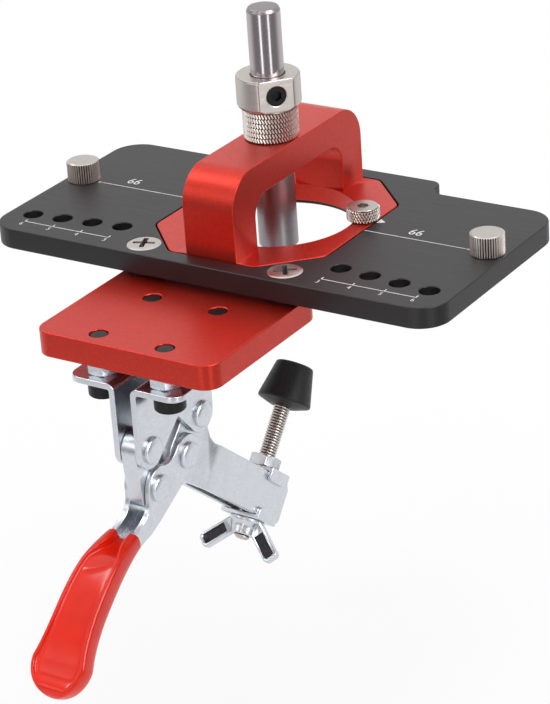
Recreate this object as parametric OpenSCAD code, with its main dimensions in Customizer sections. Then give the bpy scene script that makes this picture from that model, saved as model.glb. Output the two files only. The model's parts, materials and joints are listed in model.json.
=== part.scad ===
// Hinge drilling jig: a base plate with an arch that guides a drill rod, and a toggle clamp below.
// Millimetres. The origin is where the boring axis meets the underside of the base plate.
// +Z is up along the drill rod, +X is to the right, and the clamp stands out to the front, along -Y.

/* [Base plate] */
// Thumb screw's middle to the end of the plate
plate_end = 5.5; // [5.3:0.1:12]
// Thickness of the base plate
plate_t = 6; // [5:0.1:9]
// Rim of the plate in front of the bridge's foot and behind it
plate_rim = 5.8; // [5.2:0.1:10]
// Boring axis to the rear edge of the two wings
plate_rear = 31; // [26:0.5:33]
// Width of the middle tongue
tongue_w = 62; // [58:0.5:80]
// Radius of the plate's corners
plate_corner_r = 8.5; // [4:0.5:11]
// Radius where the tongue meets the wings
tongue_fillet_r = 3.5; // [1:0.5:6]

/* [Stop pin holes] */
// Diameter of the stop pin holes
stop_hole_d = 5.6; // [4:0.1:6.5]
// Holes on each side
stop_count = 4; // [2:1:4]
// Boring axis to the innermost hole along X
stop_first_x = 35.3; // [34.5:0.1:37]
// Distance from hole to hole along X
stop_pitch = 9.5; // [8:0.1:9.6]
// Boring axis to the innermost hole along Y
stop_first_y = 24.5; // [22:0.1:27]
// How much further forward each next hole stands
stop_step = 1; // [0.5:0.1:2]

/* [Thumb screws] */
// Boring axis to each thumb screw
thumb_x = 66; // [60:0.1:80]
// Diameter of the knurled head
thumb_head_d = 9.5; // [8:0.1:10.5]
// Height of the knurled head
thumb_head_h = 6; // [4:0.1:9]
// Thread diameter
thumb_thread_d = 5; // [3:0.1:6]

/* [Bridge] */
// Width of the eight-sided foot along X
foot_w = 55; // [52:0.5:57]
// Depth of the eight-sided foot along Y, which is also the span of the arch
foot_d = 66.4; // [64:0.2:76]
// Leg of the foot's 45 degree corners
foot_chamfer = 14; // [12:0.5:16]
// Rounding of the foot's eight corners
foot_corner_r = 3.5; // [1:0.5:5]
// Gap all round between the foot and its pocket
foot_gap = 0.4; // [0.2:0.05:0.8]
// Ledge of the base plate that carries the foot
ledge_t = 1; // [0.6:0.1:2]
// Diameter of the boring window
window_d = 44.8; // [40:0.2:45]
// How far the ledge stands back from the window
ledge_back = 0.4; // [0.2:0.05:0.6]
// Width of the arch along X
arch_w = 16.2; // [15.6:0.1:22]
// Height of the arch above the base plate
arch_h = 23.4; // [20:0.2:32]
// Thickness of the arch's crown
arch_t = 8.9; // [6:0.1:12]
// Outer corner radius of the arch
arch_outer_r = 10; // [4:0.5:10.5]
// Inner corner radius of the arch
arch_inner_r = 6; // [2:0.5:9]

/* [Bridge screws] */
// Place of the right screw along X
bridge_screw_x = 23.55; // [23.5:0.05:24.2]
// Place of the right screw along Y
bridge_screw_y = 7.2; // [7:0.1:12]
// Head diameter
bridge_head_d = 9.3; // [7:0.1:10]
// Head height
bridge_head_h = 3.8; // [3:0.1:6]
// Thread diameter
bridge_thread_d = 3; // [2:0.1:3]

/* [Drill guide] */
// Diameter of the rod where it runs in the guide bush
rod_d = 11; // [9.6:0.1:11.2]
// Diameter of the rod's shank, which goes in a drill chuck
shank_d = 9.2; // [6:0.1:9.5]
// Depth of the ring on the shank that marks the collar's lowest place
ring_depth = 0.3; // [0.2:0.05:0.5]
// Width of that ring
ring_w = 0.8; // [0.5:0.1:1.5]
// Top of the shank above the guide bush
shank_h = 28; // [26:0.1:45]
// Rod end below the base plate's underside, at its lowest
rod_below = 2.5; // [0.5:0.1:3]
// Hole for a cutter's threaded stub in the rod's end
cutter_hole_d = 5; // [4:0.1:7]
// Depth of that hole
cutter_hole_depth = 10; // [6:0.5:16]
// Outside diameter of the guide bush's knurled head
bush_head_d = 15.3; // [14.2:0.1:16]
// Height of the knurled head
bush_head_h = 8.9; // [4:0.1:12]
// Outside diameter of the bush inside the arch
bush_d = 13; // [12.6:0.1:13.6]
// Diameter of the stop collar
collar_d = 17.7; // [17:0.1:22]
// Height of the stop collar
collar_h = 9.3; // [8:0.1:12]
// Boring axis to the flat milled on the collar
collar_flat = 7.3; // [7:0.1:8]
// Direction that the flat faces, about the boring axis
collar_flat_angle = -40; // [-180:1:180]
// Thread diameter of the collar's set screw
set_screw_d = 5.4; // [3:0.1:6]

/* [Clamp plate] */
// Width of the clamp plate along X
clamp_plate_w = 56.4; // [54:0.2:70]
// Boring axis to the clamp plate's front edge
clamp_plate_front = 77.2; // [76.5:0.1:84]
// Plate screw's middle to the clamp plate's rear edge
clamp_plate_edge = 7.1; // [5.6:0.1:9]
// Thickness of the clamp plate
clamp_plate_t = 7.1; // [5:0.1:9]
// Radius of the clamp plate's corners
clamp_plate_r = 5; // [1:0.5:9]
// Thickness of the two spacers between the plates
spacer_t = 1.75; // [1:0.05:4]
// Diameter of the spacers
spacer_d = 10; // [8:0.1:12]
// Plate screws from the middle along X
plate_screw_x = 22.7; // [21.5:0.1:24]
// Land between a plate screw's head and the bridge's foot
plate_screw_land = 0.83; // [0.6:0.01:1.6]
// Thread diameter of the plate screws
plate_screw_d = 5; // [4:0.1:5]
// Head diameter of the plate screws
plate_screw_head_d = 9.8; // [8:0.1:10]

/* [Clamp frame] */
// Sheet thickness of the frame halves
frame_sheet = 1.8; // [1.4:0.1:2.2]
// Clear width between the frame halves, and between the handle's cheeks
frame_gap = 4.9; // [4:0.1:6]
// Middle to the outer edge of each flange
flange_reach = 17.6; // [16:0.1:20]
// Boring axis to the front end of the flanges
flange_front = 78; // [77.5:0.1:80]
// Boring axis to the rear end of the flanges
flange_rear = 40; // [36:0.5:40.4]
// Bend radius on the outside of the flange
bend_r = 2.4; // [2.2:0.1:3]
// Frame screws from the middle along X
frame_screw_x = 10.5; // [10.2:0.1:12]
// Boring axis to the front pair of frame screws
frame_screw_front = 71.5; // [71:0.1:72]
// Boring axis to the rear pair of frame screws
frame_screw_rear = 46.8; // [46.4:0.1:48]
// Thread diameter of the frame screws
frame_screw_d = 5; // [4:0.1:5]
// Head diameter of the frame screws
frame_head_d = 8.5; // [7.5:0.1:9]
// Head height of the frame screws
frame_head_h = 5; // [3:0.1:6]
// Hexagon nut across its flats
nut_af = 8; // [7.6:0.1:9]
// Height of the nuts that space the frame off the plate
nut_h = 3.5; // [3:0.1:6]

/* [Toggle linkage] */
// Boring axis to the arm's pivot along Y
arm_pivot_y = -49.2; // [-49.6:0.1:-48.8]
// Height of the arm's and the link's pivots
pivot_z = -32.2; // [-33.5:0.1:-31.4]
// Arm pivot to link pivot
ground_l = 23.6; // [23.2:0.1:24]
// Arm pivot to handle pivot
crank_l = 11.8; // [11.7:0.05:12.2]
// Handle pivot to link rivet
coupler_l = 14.4; // [14:0.1:14.8]
// Slope of the arm at rest
arm_slope = -40; // [-42:0.5:-38]
// Direction from the handle pivot to the link rivet at rest
coupler_angle = 193; // [191:0.5:195]
// Rivet shank diameter
rivet_d = 5; // [4:0.1:5]
// Rivet head diameter
rivet_head_d = 7.5; // [6.5:0.1:8]
// Rivet head height
rivet_head_h = 1.3; // [0.8:0.1:1.8]
// Free play of the link on its lower rivet
link_play = 1.7; // [1.6:0.05:2]

/* [Arm] */
// Height of the arm's bar
bar_h = 12.7; // [10:0.1:12.8]
// Arm pivot to the outer end of the bar
bar_end = 55.8; // [54.5:0.1:70]
// Clear width of the slot in the bar
slot_w = 5.6; // [5.2:0.1:7]
// Sheet thickness of the arm's two halves at the bar
arm_sheet = 2.2; // [1.6:0.1:2.6]
// Arm pivot to where the halves start to spread
spread_start = 8; // [7.5:0.1:9]
// Arm pivot to where the halves run parallel again
spread_end = 14; // [12.5:0.5:18]

/* [Spindle] */
// Outer end of the bar back to the spindle
spindle_back = 8.8; // [8.2:0.1:10.8]
// Thread diameter of the spindle
spindle_d = 5; // [4:0.1:5]
// End of the spindle below the level of the arm's pivot
spindle_low = 25.4; // [24.8:0.1:30]
// Bottom of the rubber tip above the level of the arm's pivot
tip_low = 15.5; // [14:0.1:16.5]
// Height of the rubber tip
tip_h = 11.2; // [9:0.1:12]
// Diameter of the tip's wide end
tip_base_d = 15.6; // [12:0.1:18]
// Diameter of the tip's pressing end
tip_top_d = 10.8; // [8:0.1:14]
// Length of the saddle washers along the bar
saddle_l = 10.4; // [10:0.1:16]
// Sheet thickness of the saddle washers
saddle_t = 1.2; // [0.8:0.1:1.6]
// How far the saddle washers' ears reach over the bar
saddle_ear = 2.5; // [1.5:0.1:4]
// Spindle's hexagon nut across its flats
spindle_nut_af = 8.8; // [7.6:0.1:10]
// Height of the spindle's hexagon nut
spindle_nut_h = 3.3; // [3:0.1:6]
// Diameter of the wing nut's body
wing_body_d = 10; // [9:0.1:11]
// Height of the wing nut's body
wing_body_h = 4.8; // [4:0.1:6]
// Length of each wing
wing_l = 11.2; // [7:0.1:13]
// Width of each wing
wing_w = 4.5; // [4:0.1:5]
// Thickness of each wing
wing_t = 2.4; // [1.6:0.1:3]

/* [Handle] */
// Sheet thickness of the handle
handle_sheet = 1.6; // [1.2:0.1:1.8]
// Cheek radius round the handle pivot
handle_eye_r = 5.8; // [5:0.1:5.8]
// Cheek radius round the link rivet
handle_link_r = 5.8; // [5:0.1:5.9]
// Handle pivot to the grip's end along Y
handle_reach = 59.4; // [54:0.2:70]
// Handle pivot down to the grip's end
handle_drop = 44.8; // [40:0.2:52]
// Half width of the grip at its mouth
grip_mouth = 4.9; // [4.8:0.1:6]
// Half width of the grip at its bulb
grip_bulb = 8.5; // [6:0.1:10]
// Depth of the grip at its mouth
grip_mouth_d = 6; // [5.6:0.1:7]
// Depth of the grip at its bulb
grip_bulb_d = 7.4; // [6:0.1:9]
// Extra depth of the grip half way along
grip_belly = 0.3; // [0:0.1:1.5]

/* [Clearances] */
// Radial clearance of a piece that turns or slides on another
run = 0.03; // [0.01:0.01:0.08]
// Radial clearance of a screw or rivet in its hole
fit = 0.05; // [0.03:0.01:0.1]
// Side clearance between the layers of the linkage
side = 0.1; // [0.05:0.01:0.2]

/* [Hidden] */
$fn = 64;

// Reach of a cut past the face that it opens
cut = 1;

// Outline of the base plate and the screws that stand by the foot
plate_length = 2 * (thumb_x + plate_end);
plate_front = foot_d / 2 + plate_rim;
tongue_rear = foot_d / 2 + plate_rim;
foot_reach = foot_w / 2 + foot_d / 2 - foot_chamfer;
plate_screw_y = foot_reach + sqrt(2) * (plate_screw_head_d / 2 + plate_screw_land) - plate_screw_x;
clamp_plate_rear = plate_screw_y - clamp_plate_edge;

// Levels of the bridge and the drill guide
window_r = window_d / 2;
arch_top = plate_t + arch_h;
bush_top = arch_top + bush_head_h;
shank_top = bush_top + shank_h;

// Levels of the clamp, going down
clamp_top = -spacer_t;
clamp_bottom = clamp_top - clamp_plate_t;
flange_top = clamp_bottom - nut_h;
flange_bottom = flange_top - frame_sheet;

// Layers of the linkage, outward from the middle
web_in = frame_gap / 2;
web_out = web_in + frame_sheet;
cheek_out = web_in + handle_sheet;
root_half = web_in - side;
slot_half = slot_w / 2;
bar_half = slot_half + arm_sheet;

// Pivots in the clamp's side view, as [y, z]
pivot_a = [arm_pivot_y, pivot_z];
pivot_b = [arm_pivot_y - ground_l, pivot_z];
pivot_c = pivot_a + crank_l * [sin(arm_slope), -cos(arm_slope)];
pivot_d = pivot_c + coupler_l * [cos(coupler_angle), sin(coupler_angle)];
link_v = pivot_d - pivot_b;
link_l = norm(link_v);
link_angle = atan2(link_v.y, link_v.x);

// Sizes of the linkage's eyes
rivet_r = rivet_d / 2;
frame_eye_r = 5.4;
frame_link_r = 5.3;
link_eye_r = 5;
link_low_eye_r = 5.9;
link_waist = 8.4;
link_rivet_step = 1;
link_rivet_r = (rivet_d - link_rivet_step) / 2;

// Side view of the frame halves: strip over the pivots, tip of the notch between them, flange corners
frame_strip = 10;
notch_in = 10.7;
notch_up = 4;
flange_corner_r = 4;

// Corners of the arm's bar, and the wall where its slot starts
bar_nose = [2, 2.5];
bar_heel = 1;
ear_fillet = 1.2;
slot_root = 1.2;

// Ear of the arm on its pivot: its edge leans out and runs down onto the bar
ear_r = frame_eye_r;
ear_lean = 36;
function ear_out(level) = (ear_r - level * sin(ear_lean)) / cos(ear_lean);
function ear_level(out) = (ear_r - out * cos(ear_lean)) / sin(ear_lean);

// Levels along the spindle, in the arm's own frame
spindle_at = bar_end - spindle_back;
bar_mid = -crank_l;
bar_top = bar_mid + bar_h / 2;
bar_bottom = bar_mid - bar_h / 2;
nut_low = bar_top + saddle_t;
wing_top = bar_bottom - saddle_t - fit;
tip_bore = 6.2;

// Back line of the handle, from the cheeks to the grip's end, and the points that its cheeks follow
function from_pivot(along, down) = pivot_c - [along * handle_reach, down * handle_drop];
back_line = [from_pivot(0.323, 0.344), from_pivot(0.6, 0.402), from_pivot(0.788, 0.66), from_pivot(1, 1)];
cheek_heel = from_pivot(0.04, 0.147);
floor_start = from_pivot(0.246, 0.288);
floor_rise = [0.3, 1.8];
handle_lip = 0.6;
mouth_step = 0.5;
dip_r = 6.2;
dip_h = 10;
grip_start = 0.115;
grip_bulb_at = 0.84;
tang_low = grip_mouth_d / 6;
tang_wall = 1;
tang_half = grip_mouth - tang_wall;
tang_end = 0.86;
grip_floor = 0.72 * grip_mouth_d;
grip_steps = 24;
tang_steps = 16;

// Front edge of the cheeks: its place before the link rivet, and the reach and lean of its bends
cheek_front = [4.8, 0.6];
cheek_bend = [2.7, 3.2, 5.2, 4.4];
cheek_lean = 0.35;
cheek_steps = 10;

// Point at t of a curve with four control points
function curve_at(p, t) = let(s = 1 - t) s * s * s * p[0] + 3 * s * s * t * p[1] + 3 * s * t * t * p[2]
    + t * t * t * p[3];

// Point, direction and normal of the back line at t
function back_at(t) = curve_at(back_line, t);
function back_dir(t) = let(s = 1 - t, d = s * s * (back_line[1] - back_line[0])
    + 2 * s * t * (back_line[2] - back_line[1]) + t * t * (back_line[3] - back_line[2])) d / norm(d);
function back_in(t, n) = back_at(t) + n * [back_dir(t).y, -back_dir(t).x];

// Corner of a convex outline, as its two tangent points and the centre of its arc
function unit(v) = v / norm(v);
function corner(p, q, s, r) = let(a = unit(p - q), b = unit(s - q), half = acos(a * b) / 2)
    [q + a * r / tan(half), q + b * r / tan(half), q + unit(a + b) * r / sin(half)];

// Convex outline with each corner rounded to its radius in the list r
module round_poly(pts, r) {
    n = len(pts);
    corners = [for (i = [0 : n - 1]) corner(pts[(i + n - 1) % n], pts[i], pts[(i + 1) % n], r[i])];
    polygon([for (c = corners) each [c[0], c[1]]]);
    for (i = [0 : n - 1])
        if (r[i] > 0) translate(corners[i][2]) circle(r[i]);
}

// Rectangle from x0, y0 to x1, y1 with its corners rounded
module round_rect(x0, y0, x1, y1, r) {
    round_poly([[x0, y0], [x1, y0], [x1, y1], [x0, y1]], [r, r, r, r]);
}

// A side view, drawn as [y, z], made solid from x0 to x1
module side_plate(x0, x1) {
    translate([x0, 0, 0]) rotate([90, 0, 90]) linear_extrude(x1 - x0) children();
}

// The arm's own frame: y runs along the bar and z along the spindle
module arm_frame() {
    translate([0, pivot_a.x, pivot_a.y]) rotate([arm_slope, 0, 0]) children();
}

// Cylinder on the z axis from z0 to z1
module post(d, z0, z1) {
    translate([0, 0, z0]) cylinder(d = d, h = z1 - z0);
}

// Cylinder on the z axis with both edges broken by c
module broken_post(d, z0, z1, c) {
    rotate_extrude()
        polygon([[0, z0], [d / 2 - c, z0], [d / 2, z0 + c], [d / 2, z1 - c], [d / 2 - c, z1], [0, z1]]);
}

// Hexagon on the z axis, by its width across flats
module hexagon(af, z0, z1) {
    translate([0, 0, z0]) cylinder(d = af / cos(30), h = z1 - z0, $fn = 6);
}

// Bridge

module foot_outline(grow) {
    x = foot_w / 2 + grow;
    y = foot_d / 2 + grow;
    reach = foot_reach + grow * sqrt(2);
    r = foot_corner_r + grow;
    round_poly([[x, -(reach - x)], [x, reach - x], [reach - y, y], [-(reach - y), y],
        [-x, reach - x], [-x, -(reach - x)], [-(reach - y), -y], [reach - y, -y]],
        [for (i = [0 : 7]) r]);
}

module arch_outline() {
    span = foot_d / 2;
    opening = window_r;
    crown = arch_top - arch_t;
    difference() {
        round_poly([[-span, ledge_t], [span, ledge_t], [span, arch_top], [-span, arch_top]],
            [0, 0, arch_outer_r, arch_outer_r]);
        round_poly([[-opening, -cut], [opening, -cut], [opening, crown], [-opening, crown]],
            [0, 0, arch_inner_r, arch_inner_r]);
    }
}

// The two bridge screws stand one on each side of the window
module at_bridge_screws() {
    for (hand = [-1, 1]) translate([hand * bridge_screw_x, bridge_screw_y, 0]) children();
}

module drill_bridge() {
    color("firebrick") difference() {
        union() {
            translate([0, 0, ledge_t]) linear_extrude(plate_t - ledge_t) foot_outline(0);
            side_plate(-arch_w / 2, arch_w / 2) arch_outline();
        }
        post(window_d, -cut, plate_t);
        post(bush_d + 2 * run, arch_top - arch_t - cut, arch_top + cut);
        at_bridge_screws() post(bridge_thread_d + 2 * fit, -cut, plate_t + cut);
    }
}

module bridge_screws() {
    socket_af = bridge_thread_d;
    socket_depth = bridge_head_h / 2;
    color("silver") at_bridge_screws() difference() {
        union() {
            broken_post(bridge_head_d, plate_t, plate_t + bridge_head_h, 0.4);
            post(bridge_thread_d, 0.2, plate_t + cut);
        }
        hexagon(socket_af, plate_t + bridge_head_h - socket_depth, plate_t + bridge_head_h + cut);
    }
}

// Base plate

module at_stop_holes() {
    for (hand = [-1, 1], i = [0 : stop_count - 1])
        translate([hand * (stop_first_x + i * stop_pitch), -(stop_first_y + i * stop_step), 0]) children();
}

module at_plate_screws() {
    for (hand = [-1, 1]) translate([hand * plate_screw_x, -plate_screw_y, 0]) children();
}

module plate_outline() {
    half = plate_length / 2;
    f = tongue_fillet_r;
    round_rect(-half, -plate_front, half, plate_rear, plate_corner_r);
    round_rect(-tongue_w / 2, -plate_front / 2, tongue_w / 2, tongue_rear, f);
    for (hand = [-1, 1])
        translate([hand * tongue_w / 2, plate_rear]) difference() {
            translate([-f, -f]) square(2 * f);
            translate([hand * f, f]) circle(f);
            translate([-f, f]) square(2 * f);
            translate([hand > 0 ? f : -3 * f, -f]) square(2 * f);
        }
}

// Countersink for a plate screw, wider by grow all round
module screw_cone(grow) {
    head = plate_screw_head_d / 2 + grow;
    neck = plate_screw_d / 2 + grow;
    low = plate_t - (head - neck);
    rotate_extrude() polygon([[0, plate_t], [head, plate_t], [neck, low], [0, low]]);
}

module base_plate() {
    color("dimgray") difference() {
        linear_extrude(plate_t) plate_outline();
        translate([0, 0, ledge_t]) linear_extrude(plate_t) foot_outline(foot_gap);
        post(window_d + 2 * ledge_back, -cut, plate_t);
        at_bridge_screws() post(bridge_thread_d + 2 * fit, -cut, plate_t);
        at_stop_holes() post(stop_hole_d, -cut, plate_t + cut);
        for (hand = [-1, 1])
            translate([hand * thumb_x, 0, 0]) post(thumb_thread_d + 2 * fit, -cut, plate_t + cut);
        at_plate_screws() {
            post(plate_screw_d + 2 * fit, -cut, plate_t + cut);
            screw_cone(fit);
        }
    }
}

module thumb_screw(hand) {
    color("silver") translate([hand * thumb_x, 0, 0]) {
        broken_post(thumb_head_d, plate_t, plate_t + thumb_head_h, 0.5);
        post(thumb_thread_d, 0.5, plate_t + cut);
    }
}

module thumb_screw_left() {
    thumb_screw(-1);
}

module thumb_screw_right() {
    thumb_screw(1);
}

// Drill guide

module guide_bush() {
    color("silver") difference() {
        union() {
            broken_post(bush_head_d, arch_top, bush_top, 0.4);
            post(bush_d, arch_top - arch_t + 0.3, arch_top + cut);
        }
        post(rod_d + 2 * run, arch_top - arch_t - cut, bush_top + cut);
    }
}

module drill_rod() {
    low = -rod_below;
    edge = shank_d / 20;
    ring_r = shank_d / 2 - ring_depth;
    ring_top = bush_top + collar_h + fit;
    color("lightgray") difference() {
        rotate_extrude() polygon([[0, low], [rod_d / 2 - edge, low], [rod_d / 2, low + edge],
            [rod_d / 2, bush_top], [shank_d / 2, bush_top], [shank_d / 2, ring_top - ring_w],
            [ring_r, ring_top - ring_w], [ring_r, ring_top], [shank_d / 2, ring_top],
            [shank_d / 2, shank_top - 2.4 * edge], [shank_d / 2 - edge, shank_top], [0, shank_top]]);
        post(cutter_hole_d, low - cut, low + cutter_hole_depth);
    }
}

// Frame of the collar's set screw: z runs outward along the screw
module set_screw_frame() {
    rotate(collar_flat_angle) translate([0, 0, bush_top + collar_h / 2]) rotate([0, 90, 0]) children();
}

module stop_collar() {
    bore = shank_d / 2 + run;
    edge = collar_d / 40;
    color("silver") difference() {
        rotate_extrude() polygon([[bore, bush_top], [collar_d / 2 - 2 * edge, bush_top],
            [collar_d / 2, bush_top + 2 * edge], [collar_d / 2, bush_top + collar_h - edge],
            [collar_d / 2 - edge, bush_top + collar_h], [bore + edge, bush_top + collar_h],
            [bore, bush_top + collar_h - edge]]);
        rotate(collar_flat_angle) translate([collar_flat, -collar_d / 2, bush_top - cut])
            cube([collar_d, collar_d, collar_h + 2 * cut]);
        set_screw_frame() post(set_screw_d + 2 * fit, 0, collar_d);
    }
}

module collar_set_screw() {
    inner = shank_d / 2 + fit;
    outer = collar_flat - 0.2;
    color("black") set_screw_frame() difference() {
        post(set_screw_d, inner, outer);
        hexagon(set_screw_d / 2, outer - 1.5, outer + cut);
    }
}

// Clamp plate

module at_frame_screws() {
    for (hand = [-1, 1], y = [frame_screw_front, frame_screw_rear])
        translate([hand * frame_screw_x, -y, 0]) children();
}

module clamp_plate() {
    half = clamp_plate_w / 2;
    color("firebrick") translate([0, 0, clamp_bottom]) difference() {
        linear_extrude(clamp_plate_t)
            round_rect(-half, -clamp_plate_front, half, -clamp_plate_rear, clamp_plate_r);
        at_frame_screws() post(frame_screw_d + 2 * fit, -cut, clamp_plate_t + cut);
        at_plate_screws() post(plate_screw_d + 2 * fit, -cut, clamp_plate_t + cut);
    }
}

module plate_spacers() {
    color("silver") at_plate_screws() difference() {
        post(spacer_d, clamp_top, 0);
        post(plate_screw_d + 2 * fit, clamp_top - cut, cut);
    }
}

module plate_screws() {
    slot_l = plate_screw_d;
    slot_t = 1.1;
    depth = 1.6;
    color("silver") at_plate_screws() difference() {
        union() {
            screw_cone(0);
            post(plate_screw_d, clamp_bottom + 0.4, plate_t - cut);
        }
        for (turn = [0, 90])
            rotate(turn) translate([-slot_l / 2, -slot_t / 2, plate_t - depth])
                cube([slot_l, slot_t, depth + cut]);
    }
}

// Clamp frame

// Folded section of one frame half: the upright web on the left, the flange to the right
module frame_section() {
    drop = pivot_z - 4 * frame_eye_r;
    inner = bend_r - frame_sheet;
    difference() {
        union() {
            translate([web_in, drop]) square([frame_sheet, flange_top - bend_r - drop]);
            translate([web_in + bend_r, flange_bottom]) square([flange_reach - web_in - bend_r, frame_sheet]);
            translate([web_in + bend_r, flange_top - bend_r]) circle(bend_r);
        }
        translate([web_in + bend_r, flange_top - bend_r]) circle(inner);
        translate([web_in + bend_r, drop]) square([flange_reach, flange_bottom - drop]);
        translate([web_out, drop]) square([bend_r, flange_top - bend_r - drop]);
    }
}

// Side view of a frame half: a strip under the flange, with an eye at each pivot and a notch between
module frame_side() {
    front = -flange_front;
    rear = -flange_rear;
    strip = pivot_z + frame_strip;
    apex = pivot_a + [-notch_in, notch_up];
    translate([front, strip]) square([rear - front, flange_top - strip + cut]);
    translate(pivot_a) circle(frame_eye_r);
    translate(pivot_b) circle(frame_link_r);
    polygon([[front, strip + cut], pivot_b - [frame_link_r, 0], pivot_b + frame_link_r * [cos(-52), sin(-52)],
        apex, pivot_a + frame_eye_r * [cos(215), sin(215)], pivot_a + [frame_eye_r, 0],
        [pivot_a.x + frame_eye_r, strip + cut]]);
}

module clamp_frame(hand) {
    mirror([hand > 0 ? 0 : 1, 0, 0]) color("lightsteelblue") difference() {
        intersection() {
            translate([0, -flange_rear, 0]) rotate([90, 0, 0]) linear_extrude(flange_front - flange_rear)
                frame_section();
            side_plate(0, flange_reach + cut) frame_side();
            translate([0, 0, pivot_z - 2 * frame_eye_r])
                linear_extrude(flange_top - pivot_z + 4 * frame_eye_r)
                    round_poly([[0, -flange_front], [flange_reach, -flange_front],
                        [flange_reach, -flange_rear], [0, -flange_rear]],
                        [0, flange_corner_r, flange_corner_r, 0]);
        }
        for (p = [pivot_a, pivot_b])
            side_plate(0, flange_reach) translate(p) circle(rivet_r + fit);
        at_frame_screws() post(frame_screw_d + 4 * fit, flange_bottom - cut, flange_top + cut);
    }
}

module clamp_frame_left() {
    clamp_frame(-1);
}

module clamp_frame_right() {
    clamp_frame(1);
}

module frame_screws() {
    low = flange_bottom - frame_head_h;
    color("black") at_frame_screws() difference() {
        union() {
            broken_post(frame_head_d, low, flange_bottom, 0.4);
            post(frame_screw_d, flange_bottom - cut, clamp_top - 0.3);
        }
        hexagon(frame_screw_d * 0.8, low - cut, low + frame_head_h / 2);
    }
}

module frame_nuts() {
    color("gainsboro") at_frame_screws() difference() {
        rotate(30) hexagon(nut_af, flange_top, clamp_bottom);
        post(frame_screw_d + 2 * fit, flange_top - cut, clamp_bottom + cut);
    }
}

// Toggle linkage

// Rivet across the linkage at a pivot, its heads standing on faces that are half_w from the middle
module rivet(p, d, half_w) {
    r = rivet_head_d / 2;
    crown = rivet_head_h / 2;
    ball = (r * r + crown * crown) / (2 * crown);
    color("gainsboro") translate([0, p.x, p.y]) {
        rotate([0, 90, 0]) post(d, -half_w - crown / 2, half_w + crown / 2);
        for (hand = [-1, 1])
            rotate([0, hand * 90, 0]) intersection() {
                post(rivet_head_d, half_w, half_w + rivet_head_h);
                translate([0, 0, half_w + rivet_head_h - ball]) sphere(ball);
            }
    }
}

module arm_pivot_rivet() {
    rivet(pivot_a, rivet_d, web_out);
}

module link_pivot_rivet() {
    rivet(pivot_b, rivet_d, web_out);
}

module handle_pivot_rivet() {
    rivet(pivot_c, rivet_d, cheek_out + fit);
}

module link_rivet() {
    rivet(pivot_d, 2 * link_rivet_r, cheek_out);
}

module toggle_link() {
    front = [link_v.y, -link_v.x] / link_l;
    color("lightsteelblue") side_plate(-root_half, root_half) difference() {
        union() {
            translate(pivot_b) circle(link_eye_r);
            translate(pivot_d) circle(link_low_eye_r);
            translate(pivot_b) rotate(link_angle) translate([0, -link_waist / 2])
                square([link_l, link_waist]);
            polygon([pivot_b, pivot_b + link_eye_r * front, pivot_d + link_low_eye_r * front, pivot_d]);
        }
        translate(pivot_b) circle(rivet_r + fit);
        translate(pivot_d) circle(link_rivet_r + link_play);
    }
}

// Arm

// Side view of the arm's root in its own frame: an ear on the pivot and a round end on the bar
module root_side() {
    round_end = bar_h / 2;
    circle(ear_r);
    translate([0, bar_mid]) circle(round_end);
    translate([0, bar_bottom]) square([spread_start, bar_h]);
    polygon([[-ear_r, 0], ear_r * [cos(ear_lean), sin(ear_lean)], [spread_start, ear_level(spread_start)],
        [spread_start, bar_top], [0, bar_mid], [-round_end, bar_mid]]);
}

// Side view of the bar: its outer end with the corners cut off, and the ear's tail running down onto it
module bar_side() {
    tail = ear_out(bar_top);
    fillet_top = bar_top + ear_fillet;
    polygon([[0, bar_bottom], [bar_end - bar_heel, bar_bottom], [bar_end, bar_bottom + bar_heel],
        [bar_end, bar_top - bar_nose.y], [bar_end - bar_nose.x, bar_top], [tail + ear_fillet, bar_top],
        [tail + ear_fillet / 4, bar_top + ear_fillet / 3], [ear_out(fillet_top) - fit, fillet_top],
        [-fit, ear_level(0)]]);
}

// Plan of the bar, drawn as [x, y]: half of the arm's root that spreads to one side of the slot
module bar_plan() {
    polygon([[0, spread_start - cut], [root_half, spread_start - cut], [root_half, spread_start],
        [bar_half, spread_end], [bar_half, bar_end], [slot_half, bar_end],
        [slot_half, spread_end + slot_root], [0, spread_start + slot_root]]);
}

module clamp_arm(hand) {
    mirror([hand > 0 ? 0 : 1, 0, 0]) color("lightsteelblue") arm_frame() difference() {
        union() {
            side_plate(0, root_half) root_side();
            intersection() {
                translate([0, 0, bar_bottom]) linear_extrude(bar_h + ear_r) bar_plan();
                side_plate(0, bar_half + cut) bar_side();
            }
        }
        for (p = [[0, 0], [0, bar_mid]])
            side_plate(-cut, root_half + cut) translate(p) circle(rivet_r + fit);
    }
}

module clamp_arm_left() {
    clamp_arm(-1);
}

module clamp_arm_right() {
    clamp_arm(1);
}

// Spindle

// Frame of the spindle: z runs up along it from the level of the arm's pivot
module spindle_frame() {
    arm_frame() translate([0, spindle_at, 0]) children();
}

module spindle() {
    color("gray") spindle_frame() broken_post(spindle_d, -spindle_low, tip_low + tip_bore - 0.2, 0.6);
}

module rubber_tip() {
    base_r = tip_base_d / 2;
    neck_r = spindle_d / 2 + 1.2;
    bore_r = spindle_d / 2 + fit;
    color("black") spindle_frame() rotate_extrude() polygon([[bore_r, tip_low - 1.5], [neck_r, tip_low - 1.5],
        [base_r, tip_low], [base_r, tip_low + 0.6], [tip_top_d / 2, tip_low + tip_h - 0.5],
        [tip_top_d / 2 - 0.5, tip_low + tip_h], [0, tip_low + tip_h], [0, tip_low + tip_bore],
        [bore_r, tip_low + tip_bore]]);
}

module spindle_nut() {
    color("gainsboro") spindle_frame() difference() {
        rotate(-8) hexagon(spindle_nut_af, nut_low, nut_low + spindle_nut_h);
        post(spindle_d + 2 * fit, nut_low - cut, nut_low + spindle_nut_h + cut);
    }
}

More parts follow.
